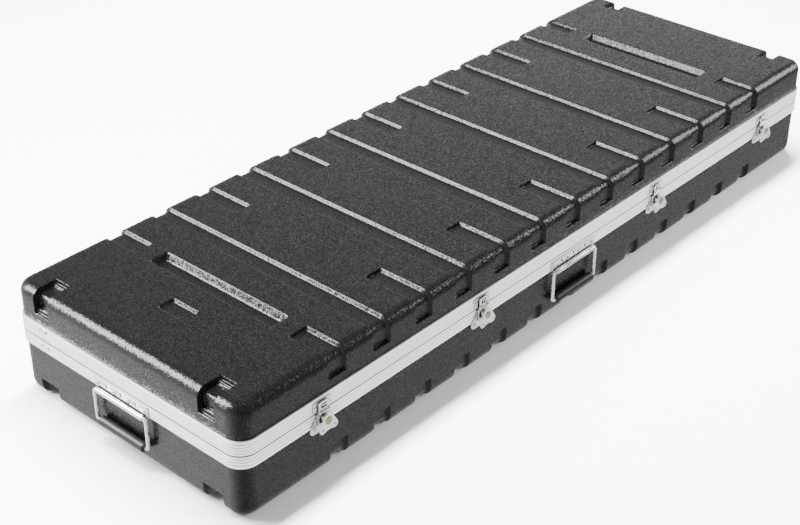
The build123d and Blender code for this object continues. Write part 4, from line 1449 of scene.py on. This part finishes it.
@dataclass
class FoamLining:
    """Cut foam: floor sheet, two rails and two end blocks in the base, and a convoluted sheet in the lid."""

    finish: bpy.types.Material
    edge: float = 4.0  # mm, radius of the cut edges
    peg_pitch: float = 44.0  # mm
    peg_height: float = 9.0  # mm

    def block(
        self,
        low: np.ndarray,
        high: np.ndarray,
        corner: float,
        pitch: float,
    ) -> tuple[Skin, Skin, Skin]:
        """Soft-edged block between two corners, as its lower face, its wall and its upper face.

        Args:
            low: corner with the least x, y and z.
            high: opposite corner.
            corner: radius of its upright corners.
            pitch: rough spacing of the grid on its faces.

        Returns:
            Lower face, wall and upper face.
        """
        centre = (low + high) / 2
        half = (high - low) / 2
        inner = half[:2] - corner
        xs = np.linspace(-inner[0], inner[0], max(2, int(2 * inner[0] / pitch)))
        ys = np.linspace(-inner[1], inner[1], max(2, int(2 * inner[1] / pitch)))
        centres, outward = RoundedOutline(xs, ys, tuple(np.linspace(0, 90, 7))).walk()
        angle = np.radians(np.linspace(0, 90, 6))
        edge = self.edge
        opening, closing = edge * (1 - np.sin(angle)), edge * (1 - np.cos(angle))
        inset = np.concatenate([[corner], opening, closing, [corner]])
        height = np.concatenate([[-half[2]], -half[2] + closing, half[2] - opening, [half[2]]])
        flat = centres[None] + (corner - inset)[:, None, None] * outward[None]
        wall = np.dstack([flat, np.broadcast_to(height[:, None], flat.shape[:2])]) + centre
        faces = []
        for z in (-half[2], half[2]):
            face = np.stack(np.meshgrid(xs, ys, [z], indexing="ij"), -1)[:, :, 0] + centre
            faces.append(grid_skin(face.transpose(1, 0, 2)))
        return faces[0], grid_skin(wall, ring_columns=True), faces[1]

    def finish_piece(self, name: str, body: str, skin: Skin, node: str) -> bpy.types.Object:
        """Args:
            name: the piece's name.
            body: body that carries it.
            skin: its surface.
            node: CAD node that it takes the place of.

        Returns:
            The object.
        """
        piece = Piece(name, body, Slot.FOAM, self.finish, (node,), 60.0).make(skin)
        return piece

    def soften(self, points: np.ndarray, amount: float) -> np.ndarray:
        """Slow unevenness of cut foam: a sum of sines in x and y, in millimetres, always inward.

        Args:
            points: points in millimetres, as rows of x, y and z.
            amount: greatest shift.

        Returns:
            Shift of each point, zero or less.
        """
        x, y = points[:, 0], points[:, 1]
        wave = np.sin(x / 37.0 + 1.3) * np.sin(y / 29.0 + 0.4) + 0.6 * np.sin(x / 19.0 - y / 23.0)
        return amount * (wave - 1.6) / 3.2

    def node_corners(self, node: str) -> tuple[np.ndarray, np.ndarray]:
        """Corners of a CAD node in millimetres."""
        low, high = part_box(node)
        return np.array(low) / MM, np.array(high) / MM

    def plain(self, node: str, name: str, corner: float, pitch: float) -> bpy.types.Object:
        """Block in a base pad's place, with an uneven top.

        Args:
            node: CAD node of the pad.
            name: the piece's name.
            corner: radius of its upright corners.
            pitch: rough spacing of the grid on its faces.

        Returns:
            The object.
        """
        low, high = self.node_corners(node)
        bottom, wall, top = self.block(low, high, corner, pitch)
        skin = bottom + wall + top
        upper = skin.points[:, 2] > high[2] - self.edge - 0.01
        skin.points[upper, 2] += self.soften(skin.points[upper], 1.2)
        return self.finish_piece(name, "base", skin, node)

    def end_block(self, node: str, name: str) -> bpy.types.Object:
        """Block across one end, whose outer corners follow the case's.

        Args:
            node: CAD node of the pad.
            name: the piece's name.

        Returns:
            The object.
        """
        low, high = self.node_corners(node)
        way = 1.0 if low[0] > 0 else -1.0
        turn = np.radians(np.linspace(0, 90, 12))
        big, small = 17.6, 3.0
        inner_x, outer_x = min(abs(low[0]), abs(high[0])), max(abs(low[0]), abs(high[0]))
        arcs = []
        for radius, x, y, start in (
            (big, outer_x - big, high[1] - big, 0),
            (small, inner_x + small, high[1] - small, 90),
            (small, inner_x + small, low[1] + small, 180),
            (big, outer_x - big, low[1] + big, 270),
        ):
            angle = turn + math.radians(start)
            arcs.append(np.column_stack([x + radius * np.cos(angle), y + radius * np.sin(angle)]))
        outline = np.vstack(arcs) * np.array([way, 1.0])
        skin = pressing([outline], low[2], high[2], self.edge - 1.0)
        return self.finish_piece(name, "base", skin, node)

    def lid_sheet(self) -> bpy.types.Object:
        """Convoluted sheet: its lower face is pushed up between its pegs, as a product of cosines.

        Returns:
            The object.
        """
        low, high = self.node_corners("lid_pad")
        bottom, wall, top = self.block(low, high, 6.0, 5.5)
        x, y = bottom.points[:, 0], bottom.points[:, 1]
        edge_fade = np.clip((200.0 - np.abs(y)) / 22.0, 0, 1) * np.clip((high[0] - np.abs(x)) / 22.0, 0, 1)
        pitch = self.peg_pitch
        pegs = 0.5 + 0.5 * np.cos(2 * np.pi * x / pitch) * np.cos(2 * np.pi * y / pitch)
        bottom.points[:, 2] += self.peg_height * (1 - pegs) * edge_fade
        return self.finish_piece("lid_foam", "lid", bottom + wall + top, "lid_pad")

    def build(self) -> None:
        """Makes every foam piece."""
        self.plain("floor_pad", "floor_foam", 7.0, 24.0)
        self.plain("front_rail_pad", "front_rail_foam", 6.0, 16.0)
        self.plain("rear_rail_pad", "rear_rail_foam", 6.0, 16.0)
        self.end_block("left_end_pad", "left_end_foam")
        self.end_block("right_end_pad", "right_end_foam")
        self.lid_sheet()


@dataclass
class SmallHardware:
    """CAD nodes that stay as they are: rivets, hinges and rear feet."""

    rivet: bpy.types.Material
    hinge: bpy.types.Material
    rubber: bpy.types.Material

    def dress(self) -> None:
        """Gives each kept node its finish."""
        for name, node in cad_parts.items():
            if node.hide_render:
                continue
            material = self.hinge if name.startswith("hinge_") and "rivets" not in name else self.rivet
            if name.endswith("rear_feet"):
                material = self.rubber
            node.data.materials.clear()
            node.data.materials.append(material)
            LOG.info("%s: kept, %s", name, material.name)


@dataclass(frozen=True)
class Lamp:
    """One soft box, aimed at the case."""

    name: str
    place: tuple[float, float, float]
    target: tuple[float, float, float]
    width: float
    height: float
    power: float
    glints: bool = True

    def hang(self) -> None:
        """Adds the lamp, which gloss mirrors only if it may glint."""
        data = bpy.data.lights.new(self.name, "AREA")
        data.shape, data.size, data.size_y = "RECTANGLE", self.width, self.height
        data.energy = self.power
        lamp = bpy.data.objects.new(self.name, data)
        lamp.location = self.place
        lamp.rotation_mode = "QUATERNION"
        lamp.rotation_quaternion = (Vector(self.target) - Vector(self.place)).to_track_quat("-Z", "Y")
        lamp.visible_glossy = self.glints
        bpy.context.scene.collection.objects.link(lamp)


@dataclass
class Studio:
    """White floor, the room's light, soft boxes, and a camera at the photograph's place."""

    camera_place: tuple[float, float, float] = (-1.761, -1.440, 1.406)
    camera_aim: tuple[float, float, float] = (0.6324, 0.5634, -0.5316)
    camera_roll: float = 0.14
    focal_length: float = 69.74
    wall_left: float = 1.6  # strength of the bright wall beyond the near end
    wall_far: float = 0.75  # beyond the far end
    wall_front: float = 0.35  # in front, below the horizon, where only reflections meet it
    cards: float = 0.5  # all round, below the horizon
    room: float = 0.16  # all round, above it

    def camera(self) -> None:
        """Camera at the photograph's place and angle."""
        data = bpy.data.cameras.new("camera")
        data.lens, data.sensor_width, data.sensor_fit = self.focal_length, 36.0, "HORIZONTAL"
        data.clip_start, data.clip_end = 0.05, 60.0
        camera = bpy.data.objects.new("camera", data)
        camera.location = self.camera_place
        camera.rotation_mode = "QUATERNION"
        aim = Vector(self.camera_aim).to_track_quat("-Z", "Y")
        camera.rotation_quaternion = aim @ Quaternion((0, 0, 1), math.radians(self.camera_roll))
        bpy.context.scene.collection.objects.link(camera)
        bpy.context.scene.camera = camera

    def floor(self) -> None:
        """Plain pale floor."""
        material, _, shader, _ = start_material("white_sweep")
        shader.inputs["Base Color"].default_value = linear("#f2f2f2")
        shader.inputs["Roughness"].default_value = 0.7
        mesh = bpy.data.meshes.new("floor")
        half = 30.0
        corners = [(-half, -half, 0.0), (half, -half, 0.0), (half, half, 0.0), (-half, half, 0.0)]
        mesh.from_pydata(corners, [], [(0, 1, 2, 3)])
        mesh.materials.append(material)
        floor = bpy.data.objects.new("floor", mesh)
        floor.visible_glossy = False  # keeps the white floor out of the black plastic's reflections
        bpy.context.scene.collection.objects.link(floor)

    def card(
        self,
        tree: bpy.types.NodeTree,
        way: tuple[float, float, float],
        start: float,
        full: float,
        strength: float,
    ) -> bpy.types.NodeSocket:
        """Bright card in the world, which fades in as a direction nears its middle.

        Args:
            tree: the world's node tree.
            way: direction of the card's middle.
            start: closeness, as a dot product, at which the card begins.
            full: closeness at which it has its full strength.
            strength: its full strength.

        Returns:
            Its strength in each direction.
        """
        around = add_node(tree, "TexCoord", {}, {})
        toward = add_node(
            tree,
            "VectorMath",
            {"operation": "DOT_PRODUCT", 1: way},
            {0: around.outputs["Generated"]},
        )
        fade = add_node(
            tree,
            "MapRange",
            {"From Min": start, "From Max": full, "To Min": 0.0, "To Max": strength},
            {"Value": toward.outputs["Value"]},
        )
        return fade.outputs[0]

    def world(self) -> None:
        """Dim room, lighter below the horizon, with a bright card beyond each end and one in front."""
        world = bpy.data.worlds.new("room")
        world.use_nodes = True
        tree = world.node_tree
        sky = tree.nodes["Background"]
        sky.inputs["Color"].default_value = linear("#ffffff")
        around = add_node(tree, "TexCoord", {}, {})
        apart = add_node(tree, "SeparateXYZ", {}, {0: around.outputs["Generated"]})
        ambient = add_node(
            tree,
            "MapRange",
            {"From Min": -0.4, "From Max": 0.2, "To Min": self.cards, "To Max": self.room},
            {"Value": apart.outputs["Z"]},
        )
        sinking = add_node(
            tree,
            "MapRange",
            {"From Min": 0.0, "From Max": 0.35, "To Min": 1.0, "To Max": 0.45},
            {"Value": apart.outputs["Z"]},
        )
        left = self.card(tree, (-0.75, 0.66, 0.0), 0.3, 0.8, self.wall_left)
        far = self.card(tree, (0.8, 0.5, 0.0), 0.68, 0.94, self.wall_far)
        front = self.card(tree, (0.5, -0.45, -0.74), 0.75, 0.95, self.wall_front)
        total = add_node(tree, "Math", {"operation": "MULTIPLY"}, {0: left, 1: sinking.outputs[0]})
        for light in (far, front, ambient.outputs[0]):
            total = add_node(tree, "Math", {"operation": "ADD"}, {0: total.outputs[0], 1: light})
        tree.links.new(total.outputs[0], sky.inputs["Strength"])
        bpy.context.scene.world = world

    def lamps(self) -> None:
        """Soft boxes: beyond the near end, overhead, two in front and a weak one past the far rear corner.

        The one overhead and the second of the two in front are kept out of reflections.
        """
        for lamp in (
            Lamp("end_softbox", (-1.48, 1.15, 1.35), (-0.65, 0.0, 0.15), 0.7, 1.5, 130.0),
            Lamp("top_softbox", (0.3, 0.6, 3.4), (0.3, 0.0, 0.0), 3.0, 0.6, 1450.0, False),
            Lamp("front_softbox", (2.76, -1.46, 1.39), (0.4, -0.24, 0.15), 1.2, 1.4, 60.0),
            Lamp("fore_softbox", (1.2, -2.6, 1.6), (0.0, -0.24, 0.1), 1.0, 0.8, 90.0, False),
            Lamp("back_softbox", (3.1, 2.2, 0.55), (0.2, 0.0, 0.15), 2.6, 0.5, 5.0),
        ):
            lamp.hang()


def main() -> None:
    """Builds the studio, then the case, piece by piece."""
    logging.basicConfig(level=logging.INFO, format="%(message)s")
    studio = Studio()
    studio.camera()
    studio.floor()
    studio.world()
    studio.lamps()
    abs_plastic = PebbledABS().build()
    base_pitch = (SPLIT - BASE_DEPTH) / (BASE_LINES + 1)
    lid_pitch = (BAND_TOP - SPLIT) / (LID_LINES + 1)
    lower_aluminium = DrawnAluminium(
        "drawn_aluminium_base", BASE_DEPTH, base_pitch, BASE_LINES, 4.0, "#6f6f70"
    ).build()
    upper_aluminium = DrawnAluminium(
        "drawn_aluminium_lid", SPLIT, lid_pitch, LID_LINES, 0.0, "#1c1c1d"
    ).build()
    plated = PlatedMetal("zinc_plate", "#e4e5e4", 0.16).build()
    chrome = PlatedMetal("chrome_plate", "#eeeff0", 0.1).build()
    brass = PlatedMetal("brass_plate", "#a79d76", 0.2).build()
    rivet = PlatedMetal("rivet_steel", "#cfcfcc", 0.28).build()
    hinge = PlatedMetal("hinge_zinc", "#c8c9c9", 0.3).build()
    grip = MouldedBlack("grip_vinyl", "#0e0e0f", 0.42).build()
    rubber = MouldedBlack("foot_rubber", "#141414", 0.7).build()
    foam = OpenFoam().build()
    shells = Shells(abs_plastic)
    shells.lid()
    shells.base()
    valance = Valance(lower_aluminium, upper_aluminium)
    valance.lower()
    valance.upper()
    for number, across in enumerate(LATCH_PLACES, 1):
        TurnLatch(number, across, plated, brass).build()
    for side in Side:
        DropHandle(side, plated, chrome, grip).build()
    FoamLining(foam).build()
    SmallHardware(rivet, hinge, rubber).dress()


if __name__ == "__main__":
    main()
